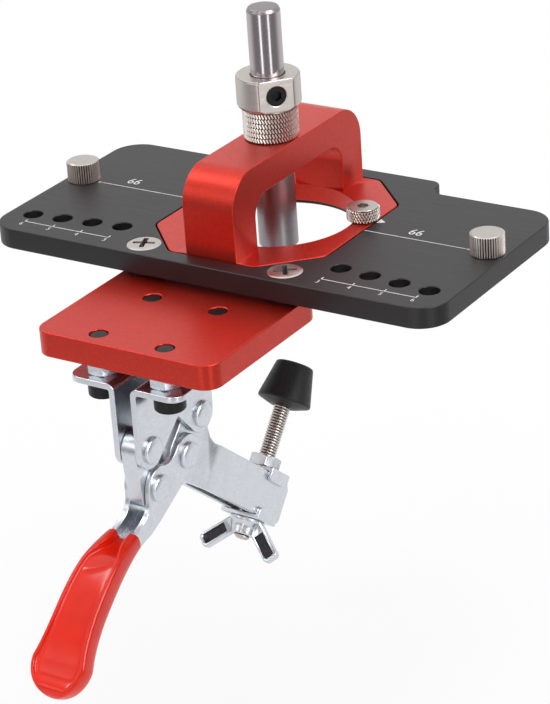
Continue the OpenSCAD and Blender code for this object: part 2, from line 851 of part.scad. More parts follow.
// Saddle washer on the face of the bar at z = 0, with its ears reaching down over the bar
module saddle_washer() {
    inner = bar_half + fit;
    outer = inner + saddle_t;
    ear_r = saddle_ear / 2 + saddle_t / 4;
    difference() {
        union() {
            translate([-outer, -saddle_l / 2, 0]) cube([2 * outer, saddle_l, saddle_t]);
            for (hand = [-1, 1])
                translate([hand > 0 ? inner : -outer, 0, 0]) rotate([90, 0, 90]) linear_extrude(saddle_t)
                    round_poly([[-saddle_l / 2, saddle_t / 2], [-saddle_l / 2, -saddle_ear],
                        [saddle_l / 2, -saddle_ear], [saddle_l / 2, saddle_t / 2]], [0, ear_r, ear_r, 0]);
        }
        post(spindle_d + 4 * fit, -cut, saddle_t + cut);
    }
}

module saddle_washer_upper() {
    color("gainsboro") spindle_frame() translate([0, 0, bar_top]) saddle_washer();
}

module saddle_washer_lower() {
    color("gainsboro") spindle_frame() translate([0, 0, bar_bottom]) mirror([0, 0, 1]) saddle_washer();
}

module wing_nut() {
    flare = -43;
    root = [0.36 * wing_body_d, -0.42 * wing_body_h];
    tip_r = wing_w / 3;
    low_r = 0.38 * wing_body_d;
    color("gainsboro") spindle_frame() translate([0, 0, wing_top]) difference() {
        union() {
            rotate_extrude() polygon([[0, 0], [wing_body_d / 2, 0], [wing_body_d / 2, -wing_body_h / 5],
                [low_r, -wing_body_h], [0, -wing_body_h]]);
            for (turn = [0, 180])
                rotate(turn) rotate([90, 0, 0]) translate([0, 0, -wing_t / 2]) linear_extrude(wing_t)
                    translate(root) rotate(flare)
                        round_poly([[-wing_t / 2, -wing_w / 2], [wing_l, -wing_w / 2], [wing_l, wing_w / 2],
                            [-wing_t / 2, wing_w / 2]], [0, tip_r, tip_r, 0]);
        }
        post(spindle_d + 2 * fit, -2 * wing_l, cut);
        post(4 * wing_l, 0, wing_l);
    }
}

// Handle

// Side view of one cheek, from the handle pivot to the mouth of the grip
module cheek_side() {
    mouth_low = back_in(grip_start, handle_lip);
    mouth_high = back_in(grip_start, grip_mouth_d - mouth_step);
    top = pivot_d + [0, handle_link_r];
    front = pivot_d - cheek_front;
    over = [top, top - [cheek_bend[0], 0], front + [0, cheek_bend[1]], front];
    down = [front, front + [cheek_lean, -cheek_bend[2]], mouth_high - cheek_bend[3] * back_dir(grip_start),
        mouth_high];
    difference() {
        union() {
            translate(pivot_c) circle(handle_eye_r);
            polygon(concat([pivot_c + [0, handle_eye_r]],
                [for (i = [0 : cheek_steps]) curve_at(over, i / cheek_steps)],
                [for (i = [1 : cheek_steps]) curve_at(down, i / cheek_steps)], [mouth_low],
                [for (t = [grip_start, grip_start / 2, 0]) back_in(t, handle_lip)],
                [floor_start, cheek_heel, pivot_c + handle_eye_r * [cos(-40), sin(-40)]]));
        }
        translate((pivot_c + pivot_d) / 2) rotate(coupler_angle + 180) translate([0, dip_h]) circle(dip_r);
        translate(pivot_c) circle(rivet_r + fit);
        translate(pivot_d) circle(link_rivet_r + fit);
    }
}

// Side view of the strip along the back line from t0 to t1, between two depths
module tang_side(t0, t1, n0, n1) {
    steps = [for (i = [0 : tang_steps]) t0 + (t1 - t0) * i / tang_steps];
    polygon(concat([for (t = steps) back_in(t, n0)],
        [for (i = [tang_steps : -1 : 0]) back_in(steps[i], n1)]));
}

module handle() {
    tang_high = tang_low + handle_sheet;
    color("lightsteelblue") {
        for (hand = [0, 1])
            mirror([hand, 0, 0]) side_plate(web_in, cheek_out) cheek_side();
        side_plate(-web_in - handle_sheet / 2, web_in + handle_sheet / 2)
            polygon([floor_start, back_in(0, handle_lip), back_in(0, tang_high), floor_start + floor_rise]);
        side_plate(-web_in - handle_sheet / 2, web_in + handle_sheet / 2)
            tang_side(0, grip_start, handle_lip, tang_high);
        side_plate(-tang_half, tang_half) tang_side(grip_start / 2, tang_end, tang_low, tang_high);
    }
}

// Half width and depth of the grip at t, swelling from the mouth to the bulb and closing at the end
function swell(t) = min(1, (t - grip_start) / (grip_bulb_at - grip_start));
function closing(t) = let(s = max(0, (t - grip_bulb_at) / (1 - grip_bulb_at))) sqrt(max(0.01, 1 - s * s));
function grip_half(t) = (grip_mouth + (grip_bulb - grip_mouth)
    * (0.45 * sin(90 * min(1, swell(t) / 0.6)) + 0.55 * pow(swell(t), 6))) * closing(t);
function grip_depth(t) = grip_mouth_d + (grip_bulb_d - grip_mouth_d) * sin(90 * min(1, 2.5 * swell(t)))
    + grip_belly * sin(180 * swell(t));

// Stations along the grip, closer together towards its round end
function grip_station(i) = grip_start + (1 - grip_start) * sin(90 * i / grip_steps);

// Right half of the grip's section, from the middle of its back to the middle of its dish
function grip_section(t) = let(w = grip_half(t), d = grip_depth(t), sunk = (d - grip_floor) * closing(t)) [
    [0, 0], [0.5 * w, 0.04 * d], [0.84 * w, 0.2 * d], [w, 0.5 * d], [w, 0.78 * d], [0.94 * w, 0.96 * d],
    [0.82 * w, d], [0.7 * w, d - 0.35 * sunk], [0.45 * w, d - 0.88 * sunk], [0, d - sunk]];

function grip_ring(t) = let(half = grip_section(t), n = len(half)) [
    for (p = concat(half, [for (i = [n - 2 : -1 : 1]) [-half[i].x, half[i].y]]))
        let(q = back_in(t, p.y)) [p.x, q.x, q.y]];

// Solid through equal rings, with flat ends
module skin(rings) {
    n = len(rings[0]);
    last = len(rings) - 1;
    polyhedron([for (r = rings) each r], concat([[for (i = [0 : n - 1]) i]],
        [for (k = [0 : last - 1], i = [0 : n - 1], half = [0, 1]) let(a = k * n + i, b = k * n + (i + 1) % n)
            half == 0 ? [a, a + n, b] : [b, a + n, b + n]],
        [[for (i = [n - 1 : -1 : 0]) last * n + i]]));
}

module handle_grip() {
    color("red") difference() {
        skin([for (i = [0 : grip_steps]) grip_ring(grip_station(i))]);
        side_plate(-tang_half - fit, tang_half + fit)
            tang_side(grip_start / 2, tang_end + 0.005, tang_low - fit, tang_low + handle_sheet + fit);
    }
}

base_plate();
drill_bridge();
bridge_screws();
guide_bush();
drill_rod();
stop_collar();
collar_set_screw();
thumb_screw_left();
thumb_screw_right();
clamp_plate();
plate_screws();
plate_spacers();
clamp_frame_left();
clamp_frame_right();
frame_screws();
frame_nuts();
arm_pivot_rivet();
link_pivot_rivet();
clamp_arm_left();
clamp_arm_right();
handle_pivot_rivet();
toggle_link();
link_rivet();
handle();
handle_grip();
spindle();
rubber_tip();
spindle_nut();
saddle_washer_upper();
saddle_washer_lower();
wing_nut();
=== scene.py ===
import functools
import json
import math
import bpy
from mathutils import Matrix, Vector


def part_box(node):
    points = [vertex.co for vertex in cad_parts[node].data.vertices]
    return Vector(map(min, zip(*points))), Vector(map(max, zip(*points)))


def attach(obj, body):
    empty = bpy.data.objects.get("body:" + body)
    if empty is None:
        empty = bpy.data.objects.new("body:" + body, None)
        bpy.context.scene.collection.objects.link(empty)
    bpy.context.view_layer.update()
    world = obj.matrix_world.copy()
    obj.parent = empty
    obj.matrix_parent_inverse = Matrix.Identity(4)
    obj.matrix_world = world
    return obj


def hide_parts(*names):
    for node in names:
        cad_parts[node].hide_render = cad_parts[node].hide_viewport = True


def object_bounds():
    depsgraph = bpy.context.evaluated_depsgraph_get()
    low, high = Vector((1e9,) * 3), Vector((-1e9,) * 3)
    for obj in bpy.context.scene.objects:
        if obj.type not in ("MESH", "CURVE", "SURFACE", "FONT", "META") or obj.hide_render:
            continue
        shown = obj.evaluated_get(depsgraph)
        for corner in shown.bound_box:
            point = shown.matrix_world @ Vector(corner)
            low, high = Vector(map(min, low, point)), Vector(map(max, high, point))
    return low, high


bl_info = {
    "name": "Hinge drilling jig",
    "version": (1, 0, 0),
    "blender": (4, 5, 0),
    "location": "View3D > Sidebar > Jig",
    "description": "Dresses the packed drilling jig: softened metal, knurls, a thread, print and a dipped grip",
    "category": "Object",
}

import bmesh
import bpy
from bpy.props import FloatProperty, FloatVectorProperty, IntProperty, PointerProperty
from mathutils import Matrix, Vector

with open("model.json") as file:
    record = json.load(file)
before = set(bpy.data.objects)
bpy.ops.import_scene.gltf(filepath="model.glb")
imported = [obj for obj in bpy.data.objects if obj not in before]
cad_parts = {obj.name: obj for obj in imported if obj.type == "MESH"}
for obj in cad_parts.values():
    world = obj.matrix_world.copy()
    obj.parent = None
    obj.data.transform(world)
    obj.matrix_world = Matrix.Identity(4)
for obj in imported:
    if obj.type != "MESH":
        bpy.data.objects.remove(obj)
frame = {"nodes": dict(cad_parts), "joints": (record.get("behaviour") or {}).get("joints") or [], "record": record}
CAD_BOX = [list(corner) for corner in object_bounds()]
JOINTS = {joint["name"]: joint for joint in frame["joints"]}
BODY_OF = {node: body for body, nodes in frame["record"]["behaviour"]["bodies"].items() for node in nodes}
SLOT_OF = {part["node"]: part["material_slot"] for part in frame["record"]["subparts"]}
MM = 0.001
PLATE_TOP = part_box("base_plate")[1].z


# Sizes and colours that a user would change


def linear(code):
    """Linear colour of an sRGB hex value."""
    channels = [int(code[i : i + 2], 16) / 255 for i in (1, 3, 5)]
    return [c / 12.92 if c <= 0.04045 else ((c + 0.055) / 1.055) ** 2.4 for c in channels]


def length(name, description, millimetres):
    return FloatProperty(
        name=name, description=description, default=millimetres * MM, min=0, unit="LENGTH", precision=5
    )


def number(name, description, default, least):
    return IntProperty(name=name, description=description, default=default, min=least)


def colour(name, description, code):
    return FloatVectorProperty(
        name=name, description=description, subtype="COLOR", size=3, min=0, max=1, default=linear(code)
    )


class JigSizes(bpy.types.PropertyGroup):
    """Sizes of what the scene adds to the solids."""

    plate_edge: length("Plate edge", "Radius on the edges of the two aluminium plates", 0.35)
    bridge_edge: length("Bridge edge", "Radius on the edges of the arch and its foot", 0.3)
    sheet_edge: length("Sheet edge", "Radius on the edges of the punched steel", 0.3)
    small_edge: length("Small edge", "Radius on the edges of small turned parts", 0.15)
    knurl_depth: length("Knurl depth", "Height of the knurls' ridges", 0.45)
    thumb_ridges: number("Thumb screw ridges", "Straight ridges round a thumb screw", 40, 12)
    bush_bars: number("Bush bars", "Slanted bars in one row round the guide bush", 54, 12)
    bush_rows: number("Bush rows", "Rows of bars on the guide bush", 6, 1)
    thread_pitch: length("Thread pitch", "Pitch of the spindle's thread", 0.8)
    thread_depth: length("Thread depth", "Depth of the spindle's thread", 0.45)
    print_line: length("Printed line", "Width of the printed lines", 0.24)
    print_height: length("Printed figures", "Height of the large printed figures", 3.6)
    grip_rim: length("Grip rim", "Width of the rim round the grip's dish", 1.3)
    dish_depth: length("Dish depth", "Depth of the dish in the grip", 1.2)


class JigColours(bpy.types.PropertyGroup):
    """Colours of the finishes, as they look under white light, and of the painted shade in hollows and between
    knurl ridges.
    """

    black: colour("Black anodising", "Base plate", "#181518")
    red: colour("Red anodising", "Bridge and clamp plate", "#C62A19")
    zinc: colour("Zinc plating", "Clamp", "#D2D6DC")
    nickel: colour("Nickel plating", "Collar, bush and screws", "#C6BFBA")
    steel: colour("Ground steel", "Drill rod", "#B4ACB0")
    # Also the painted shade between the ridges of the knurls
    oxide_and_groove_shade: colour("Black oxide", "Cap screws and set screw", "#1D1D1F")
    rubber: colour("Rubber", "Tip of the spindle", "#0F0F10")
    vinyl: colour("Red vinyl", "Grip", "#EE2609")
    # Painted shade for the wing nut's hollows and the plate screws' cross recesses
    recess: colour("Recess painted shade", "Hollows of the wing nut", "#3B3A3D")
    ink: colour("White print", "Marks on the base plate", "#F1F0EE")


def sizes():
    return bpy.context.scene.jig_sizes


def tint(name):
    """Colour of a finish with its alpha."""
    return [*getattr(bpy.context.scene.jig_colours, name), 1.0]


# Materials


def add(tree, kind, settings=None, inputs=None):
    """Adds a node, sets its properties, and links or sets its inputs by name or number."""
    node = tree.nodes.new(kind)
    for name, value in (settings or {}).items():
        setattr(node, name, value)
    for name, value in (inputs or {}).items():
        if isinstance(value, bpy.types.NodeSocket):
            tree.links.new(value, node.inputs[name])
        else:
            node.inputs[name].default_value = value
    return node


EVEN = (1, 1, 1)
# For each slot: the material's name, its colour, values on its shader's own sockets, the pattern that moves its
# roughness between two values, the pattern that moves its colour between two shares of it, and the pattern that
# raises it by some millimetres. A pattern is its cell in millimetres, its stretch along each axis if it has one
# and its detail.
FINISHES = {
    # Rolled plate, brushed along its length and dyed black: a dark satin with faint streaks along X and a fine
    # grain. The real grain is under 0.1 mm; it is drawn at 0.5 mm so that it shows.
    "black_aluminium": (
        "black_anodised_aluminium", "black", {"Metallic": 0.0, "IOR": 1.5, "Specular IOR Level": 0.48},
        ((0.5, (30, 1, 1)), 0.38, 0.46), ((0.5, (30, 1, 1)), 0.94, 1.08), ((0.5,), 0.012),
    ),
    # Milled, bead blasted and dyed red: the metal under the dye glows on the corners, and the blasting sparkles.
    # Blasted pits are about 0.1 mm; they are drawn at 0.45 mm so that they show.
    "red_aluminium": (
        "red_anodised_aluminium", "red", {"Metallic": 0.72, "Coat Weight": 0.22, "Coat Roughness": 0.4},
        ((0.45,), 0.3, 0.44), ((0.7,), 0.9, 1.1), ((0.45,), 0.014),
    ),
    # Barrel plated and blue passivated sheet: bluish white and faintly cloudy, with fine tumbling marks.
    # The marks are about 0.1 mm; they are drawn at 0.5 mm so that they show.
    "zinc_steel": (
        "zinc_plated_steel", "zinc", {"Metallic": 1.0},
        ((4.0, EVEN, 3.0), 0.24, 0.36), ((0.5, (1, 3, 1)), 0.93, 1.04), ((0.5, (1, 3, 1)), 0.001),
    ),
    # Painted shade in hollows: a dull dark grey, sandy finish for the wing nut's hollows and the plate screws'
    # cross recesses.
    "recess_painted_shade": (
        "recess_painted_shade", "recess", {"Metallic": 0.7},
        ((0.5,), 0.5, 0.75), ((0.5,), 0.7, 1.3), ((0.5,), 0.05),
    ),
    # Turned and nickel plated: a warm satin, a little softer and brighter along its turning marks.
    "nickel_steel": (
        "nickel_plated_steel", "nickel", {"Metallic": 1.0},
        ((0.5, (20, 20, 1)), 0.28, 0.4), ((0.5, (20, 20, 1)), 0.95, 1.03), ((0.5, (20, 20, 1)), 0.002),
    ),
    # Nickel plating on rolled ridges: the crushed metal is a little rougher, and a painted highlight raises its
    # colour so that the crests are pale.
    "knurl_painted_highlight": (
        "knurl_painted_highlight", "nickel", {"Metallic": 1.0},
        ((0.5,), 0.3, 0.46), ((0.5,), 1.4, 1.65), None,
    ),
    # Painted shade between the ridges: nearly black, so that a knurl reads as fine dark lines.
    "knurl_painted_shade": ("knurl_painted_shade", "oxide_and_groove_shade", {"Metallic": 0.5}, ((0.5,), 0.5, 0.7), None, None),
    # Turned and left: close tool rings that dull the bar's ends and its lower length, and painted shade that
    # darkens them to a mid grey.
    "turned_steel_painted_shade": (
        "turned_steel_painted_shade", "steel", {"Metallic": 1.0, "Anisotropic": 0.2},
        ((0.4, (40, 40, 1)), 0.3, 0.34), ((0.4, (40, 40, 1)), 0.62, 0.68), None,
    ),
    # Centreless ground bar: a bright gloss with close grinding rings, which draw its reflections out along it.
    "ground_steel": (
        "ground_steel", "steel", {"Metallic": 1.0, "Anisotropic": 0.3},
        ((0.35, (40, 40, 1)), 0.13, 0.2), None, ((0.35, (40, 40, 1)), 0.003),
    ),
    # Blackened alloy steel: nearly black, oily satin, a little uneven.
    "black_steel": (
        "black_oxide_steel", "oxide_and_groove_shade", {"Metallic": 0.6},
        ((0.8,), 0.32, 0.5), None, ((0.4,), 0.01),
    ),
    # Moulded rubber: matt black with a broad soft sheen and the faint orange peel of its mould.
    "rubber": (
        "black_rubber", "rubber", {"IOR": 1.52, "Specular IOR Level": 0.35, "Sheen Weight": 0.03},
        ((1.5,), 0.42, 0.56), None, ((0.9,), 0.02),
    ),
    # Steel dipped in plastisol: a thick wet-looking red skin whose surface waves a little where it ran and set.
    "red_vinyl": (
        "dipped_red_vinyl", "vinyl",
        {
            "IOR": 1.5, "Specular IOR Level": 0.36, "Subsurface Weight": 0.1,
            "Subsurface Radius": [0.002, 0.0004, 0.0003],
        },
        ((4.0,), 0.09, 0.16), ((9.0,), 0.94, 1.05), ((5.0, EVEN, 1.0), 0.035),
    ),
    # Screen printed ink: flat white, thin enough that the plate's grain breaks its edges a little.
    "white_print": (
        "white_print", "ink", {"Specular IOR Level": 0.3},
        ((0.5,), 0.5, 0.75), ((0.6,), 0.8, 1.0), None,
    ),
}


@functools.cache
def finish_of(slot):
    """The material for a slot of the record, made once."""
    name, dye, values, gloss, tone, relief = FINISHES[slot]
    material = bpy.data.materials.new(name)
    material.use_nodes = True
    tree = material.node_tree
    shader = tree.nodes["Principled BSDF"]
    for socket, value in {"Base Color": tint(dye), **values}.items():
        shader.inputs[socket].default_value = value
    place = add(tree, "ShaderNodeTexCoord").outputs["Object"]

    def speckle(cell, stretch=EVEN, detail=2.0):
        """Noise with cells of this many millimetres, drawn out by the stretch along each axis."""
        drawn = add(tree, "ShaderNodeMapping", inputs={"Vector": place, "Scale": [1 / s for s in stretch]})
        values = {"Vector": drawn.outputs[0], "Scale": 1 / (cell * MM), "Detail": detail, "Roughness": 0.6}
        return add(tree, "ShaderNodeTexNoise", inputs=values).outputs["Fac"]

    def between(pattern, low, high):
        """Value that the middle of a pattern's range moves from low to high."""
        limits = {"Value": speckle(*pattern), "From Min": 0.3, "From Max": 0.7, "To Min": low, "To Max": high}
        return add(tree, "ShaderNodeMapRange", inputs=limits).outputs[0]

    tree.links.new(between(*gloss), shader.inputs["Roughness"])
    if tone:
        pattern, *shares = tone
        dark, light = [[min(1.0, c * share) for c in tint(dye)[:3]] + [1.0] for share in shares]
        ends = {"Factor": between(pattern, 0.0, 1.0), 6: dark, 7: light}
        mixed = add(tree, "ShaderNodeMix", {"data_type": "RGBA"}, ends)
        tree.links.new(mixed.outputs[2], shader.inputs["Base Color"])
    if relief:
        pattern, millimetres = relief
        height = {"Height": speckle(*pattern), "Strength": 1.0, "Distance": millimetres * MM}
        tree.links.new(add(tree, "ShaderNodeBump", inputs=height).outputs[0], shader.inputs["Normal"])
    return material


# Meshes

# Points of the solids closer than this are one point, faces within this angle are one flat, and edges that turn
# by more than this are corners
SAME_POINT = 2e-6
SAME_FLAT = math.radians(0.6)
CORNER = math.radians(30)


def evaluated(data, change=None):
    """Plain mesh of a mesh or curve after the modifiers that change(object) adds."""
    holder = bpy.data.objects.new("holder", data)
    bpy.context.scene.collection.objects.link(holder)
    if change:
        change(holder)
    graph = bpy.context.evaluated_depsgraph_get()
    result = bpy.data.meshes.new_from_object(holder.evaluated_get(graph), depsgraph=graph)
    bpy.data.objects.remove(holder)
    return result


def from_bmesh(shape, name):
    mesh = bpy.data.meshes.new(name)
    shape.to_mesh(mesh)
    shape.free()
    return mesh


def joined(meshes, name):
    """One mesh that holds several."""
    shape = bmesh.new()
    for mesh in meshes:
        shape.from_mesh(mesh)
    return from_bmesh(shape, name)


def solid_copy(node, cuts=()):
    """A CAD node's mesh with its loose triangles joined and its flat faces made whole.

    The cuts (point, normal) split faces that have holes in them, so that each face is one plain outline.
    """
    shape = bmesh.new()
    shape.from_mesh(frame["nodes"][node].data)
    bmesh.ops.remove_doubles(shape, verts=shape.verts, dist=SAME_POINT)
    for point, normal in cuts:
        everything = [*shape.verts, *shape.edges, *shape.faces]
        cut = bmesh.ops.bisect_plane(shape, geom=everything, dist=1e-7, plane_co=point, plane_no=normal)
        for piece in cut["geom_cut"]:
            if isinstance(piece, bmesh.types.BMEdge):
                piece.seam = True
    bmesh.ops.dissolve_limit(
        shape, angle_limit=SAME_FLAT, verts=shape.verts, edges=shape.edges,
        use_dissolve_boundaries=False, delimit={"SEAM"},
    )
    return from_bmesh(shape, node)


def softened(mesh, width, segments=3, hidden=None):
    """The mesh with its corners rounded, and normals that keep its flat faces flat.

    Corners whose middle is hidden(point) stay as they are.
    """
    shape = bmesh.new()
    shape.from_mesh(mesh)
    weight = shape.edges.layers.float.new("bevel_weight_edge")
    for edge in shape.edges:
        middle = (edge.verts[0].co + edge.verts[1].co) / 2
        corner = edge.calc_face_angle(0) > CORNER
        rounded = corner and not (hidden and hidden(middle))
        edge[weight] = float(rounded)
        edge.smooth = rounded or not corner
    mesh = from_bmesh(shape, mesh.name)

    def change(holder):
        edge = holder.modifiers.new("edge", "BEVEL")
        edge.width = width
        edge.segments = segments
        edge.limit_method = "WEIGHT"
        edge.use_clamp_overlap = False
        edge.loop_slide = False
        for polygon in holder.data.polygons:
            polygon.use_smooth = True
        flat = holder.modifiers.new("flat", "WEIGHTED_NORMAL")
        flat.keep_sharp = True
        flat.weight = 60

    return evaluated(mesh, change)


def smooth(mesh, sharp=35):
    """Shades a mesh smooth and keeps edges over an angle sharp."""
    mesh.shade_smooth()
    mesh.set_sharp_from_angle(angle=math.radians(sharp))
    return mesh


def carved(mesh, tool, operation="DIFFERENCE"):
    """The mesh after a cut with another mesh."""
    cutter = bpy.data.objects.new("cutter", tool)
    bpy.context.scene.collection.objects.link(cutter)

    def change(holder):
        cut = holder.modifiers.new("cut", "BOOLEAN")
        cut.object = cutter
        cut.operation = operation
        cut.solver = "EXACT"

    result = evaluated(mesh, change)
    bpy.data.objects.remove(cutter)
    return result


def eased(points, steps=5):
    """Profile whose corners (r, z, radius) are rounded where they have a radius."""
    profile = []
    for i, (r, z, radius) in enumerate(points):
        here = Vector((r, z))
        if not radius:
            profile.append((r, z))
            continue
        before = (Vector(points[i - 1][:2]) - here).normalized() * radius
        after = (Vector(points[(i + 1) % len(points)][:2]) - here).normalized() * radius
        for k in range(steps + 1):
            t = k / steps
            profile.append(tuple(here + (1 - t) ** 2 * before + t**2 * after))
    return profile


def lathe(profile, place, name, segments=96, closed=False):
    """Turned part: a profile of (radius, height) spun about the z axis of a place."""
    shape = bmesh.new()
    rings = []
    for r, z in profile:
        count = 1 if r < 1e-8 else segments
        turns = [2 * math.pi * k / segments for k in range(count)]
        rings.append([shape.verts.new(place @ Vector((r * math.cos(a), r * math.sin(a), z))) for a in turns])
    for low, high in zip(rings, rings[1:] + (rings[:1] if closed else [])):
        for k in range(segments):
            m = (k + 1) % segments
            ring = [low[k % len(low)], low[m % len(low)], high[m % len(high)], high[k % len(high)]]
            corners = list(dict.fromkeys(ring))
            if len(corners) > 2:
                shape.faces.new(corners)
    bmesh.ops.recalc_face_normals(shape, faces=shape.faces)
    return from_bmesh(shape, name)


def prism(outline, low, high, place, name, taper=1.0):
    """Straight or tapered solid on an outline of (x, y), between two heights of a place."""
    shape = bmesh.new()
    bottom = [shape.verts.new(place @ Vector((x * taper, y * taper, low))) for x, y in outline]
    top = [shape.verts.new(place @ Vector((x, y, high))) for x, y in outline]
    shape.faces.new(bottom)
    shape.faces.new(top)
    for k in range(len(outline)):
        m = (k + 1) % len(outline)
        shape.faces.new((bottom[k], bottom[m], top[m], top[k]))
    bmesh.ops.recalc_face_normals(shape, faces=shape.faces)
    return from_bmesh(shape, name)


def hexagon(across_flats, turn=0.0):
    radius = across_flats / math.sqrt(3)
    return [
        (radius * math.cos(turn + k * math.pi / 3), radius * math.sin(turn + k * math.pi / 3)) for k in range(6)
    ]


def turned(points, place, name, segments=96, closed=False, sharp=35):
    """Smooth turned part on a profile of corners (r, z, radius)."""
    return smooth(lathe(eased(points), place, name, segments, closed), sharp)


def drilled(mesh, place, bore, low, high):
    """The mesh with a round hole of this radius between two heights of a place."""
    return carved(mesh, lathe([(0, low), (bore, low), (bore, high), (0, high)], place, "drill", 48))


def hex_nut(place, low, high, flats, bore):
    """Hexagon nut between two heights of a place, with both faces chamfered and the hole open."""
    corner = flats / math.sqrt(3)
    face = flats / 2 - 0.1 * MM
    chamfer = 0.35 * (corner - flats / 2) + 0.25 * MM
    solid = softened(prism(hexagon(flats), low - MM, high + MM, place, "nut"), 0.15 * MM)
    cone = [(0, low), (face, low), (corner, low + chamfer), (corner, high - chamfer), (face, high), (0, high)]
    solid = carved(solid, lathe(cone, place, "cone"), "INTERSECT")
    return smooth(drilled(solid, place, bore, low - MM, high + MM), 25)


def axis_place(origin, axis):
    """Place whose z axis runs along an axis, with x kept as near the world's X as it can be."""
    z = Vector(axis).normalized()
    side = Vector((1, 0, 0)) if abs(z.x) < 0.9 else Vector((0, 0, 1))
    y = z.cross(side).normalized()
    return Matrix.Translation(origin) @ Matrix((y.cross(z), y, z)).transposed().to_4x4()


def reach(node, place):
    """Lowest and highest point of a CAD node along a place's z axis, and its widest radius."""
    back = place.inverted()
    points = [back @ v.co for v in frame["nodes"][node].data.vertices]
    heights = [p.z for p in points]
    return min(heights), max(heights), max(p.xy.length for p in points)


def centre(node):
    low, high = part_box(node)
    return (low + high) / 2


def mount(name, mesh, body, slot, nodes=(), others=()):
    """Puts a finished mesh in the scene: its material, the body it rides on and the solids it stands for.

    Each of the others is a finish and a test: the faces that pass the test get that finish.
    """
    mesh.materials.clear()
    for finish in (slot, *(other for other, _ in others)):
        mesh.materials.append(finish_of(finish))
    for face in mesh.polygons:
        face.material_index = next((k for k, (_, test) in enumerate(others, 1) if test(face)), 0)
    piece = bpy.data.objects.new(name, mesh)
    bpy.context.scene.collection.objects.link(piece)
    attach(piece, body)
    if nodes:
        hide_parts(*nodes)
    return piece


def after(mesh):
    """Test for the faces of a joined mesh that come after those of its first part."""
    count = len(mesh.polygons)
    return lambda face: face.index >= count


def on_drum(place, radius):
    """Test for the faces that lie on a drum of this radius round a place's axis."""
    inverse = place.inverted()
    return lambda face: abs((inverse @ face.center).xy.length - radius) < 0.02 * MM


def across(axis, *levels):
    """Cuts across a world axis at these levels, in millimetres."""
    normal = Vector([float(axis == name) for name in "xyz"])
    return [(normal * level * MM, normal) for level in levels]


# Where the holes of the solids lie, in millimetres from the boring axis: the pin holes, the plate screws with the
# window between them, the bridge screws, the frame screws and the height of the two frame pivots
STOP_HOLE_X = [side * at for at in (35.3, 44.8, 54.3, 63.8) for side in (-1, 1)]
PLATE_CUT_X, BRIDGE_SCREW_Y = (-22.7, 0, 22.7), 7.2
FRAME_SCREW_X, FRAME_SCREW_Y, PIVOT_Z = (-10.5, 10.5), (-71.5, -46.8), -32.2
WEB_CUTS = across("y", *FRAME_SCREW_Y) + across("z", PIVOT_Z)
CUTS = {
    "base_plate": across("x", *STOP_HOLE_X, *PLATE_CUT_X) + across("y", 0, BRIDGE_SCREW_Y),
    "drill_bridge": across("x", 0) + across("y", 0, BRIDGE_SCREW_Y),
    "clamp_plate": across("x", *FRAME_SCREW_X),
    "clamp_frame_left": WEB_CUTS,
    "clamp_frame_right": WEB_CUTS,
    "stop_collar": across("x", 0) + across("y", 0),
    "handle": across("x", 0),
    "frame_screws": across("x", *FRAME_SCREW_X) + across("y", *FRAME_SCREW_Y),
}


def dress(node, width, segments=3, hidden=None):
    """Replaces a CAD node by a softened copy in its own finish."""
    mesh = softened(solid_copy(node, CUTS.get(node, ())), width, segments, hidden)
    return mount("soft_" + node, mesh, BODY_OF[node], SLOT_OF[node], [node])


# Geometry Nodes


def new_tree(name, inputs):
    """Geometry Nodes tree with named inputs, as (tree, its input node)."""
    tree = bpy.data.node_groups.new(name, "GeometryNodeTree")
    tree.interface.new_socket("Geometry", in_out="OUTPUT", socket_type="NodeSocketGeometry")
    for label, kind in inputs.items():
        tree.interface.new_socket(label, in_out="INPUT", socket_type="NodeSocket" + kind)
    return tree, add(tree, "NodeGroupInput")


def close_tree(tree, entry, geometry):
    """Ends a tree in real geometry with its material."""
    real = add(tree, "GeometryNodeRealizeInstances", inputs={"Geometry": geometry})
    painted = add(
        tree, "GeometryNodeSetMaterial",
        inputs={"Geometry": real.outputs[0], "Material": entry.outputs["Material"]},
    )
    add(tree, "NodeGroupOutput", inputs={"Geometry": painted.outputs[0]})
    return tree


def grown(tree, values):
    """Plain mesh that a tree makes from these values."""

    def change(holder):
        modifier = holder.modifiers.new("shape", "NODES")
        modifier.node_group = tree
        for socket in tree.interface.items_tree:
            if socket.in_out == "INPUT":
                modifier[socket.identifier] = values[socket.name]

    return evaluated(bpy.data.meshes.new("empty"), change)


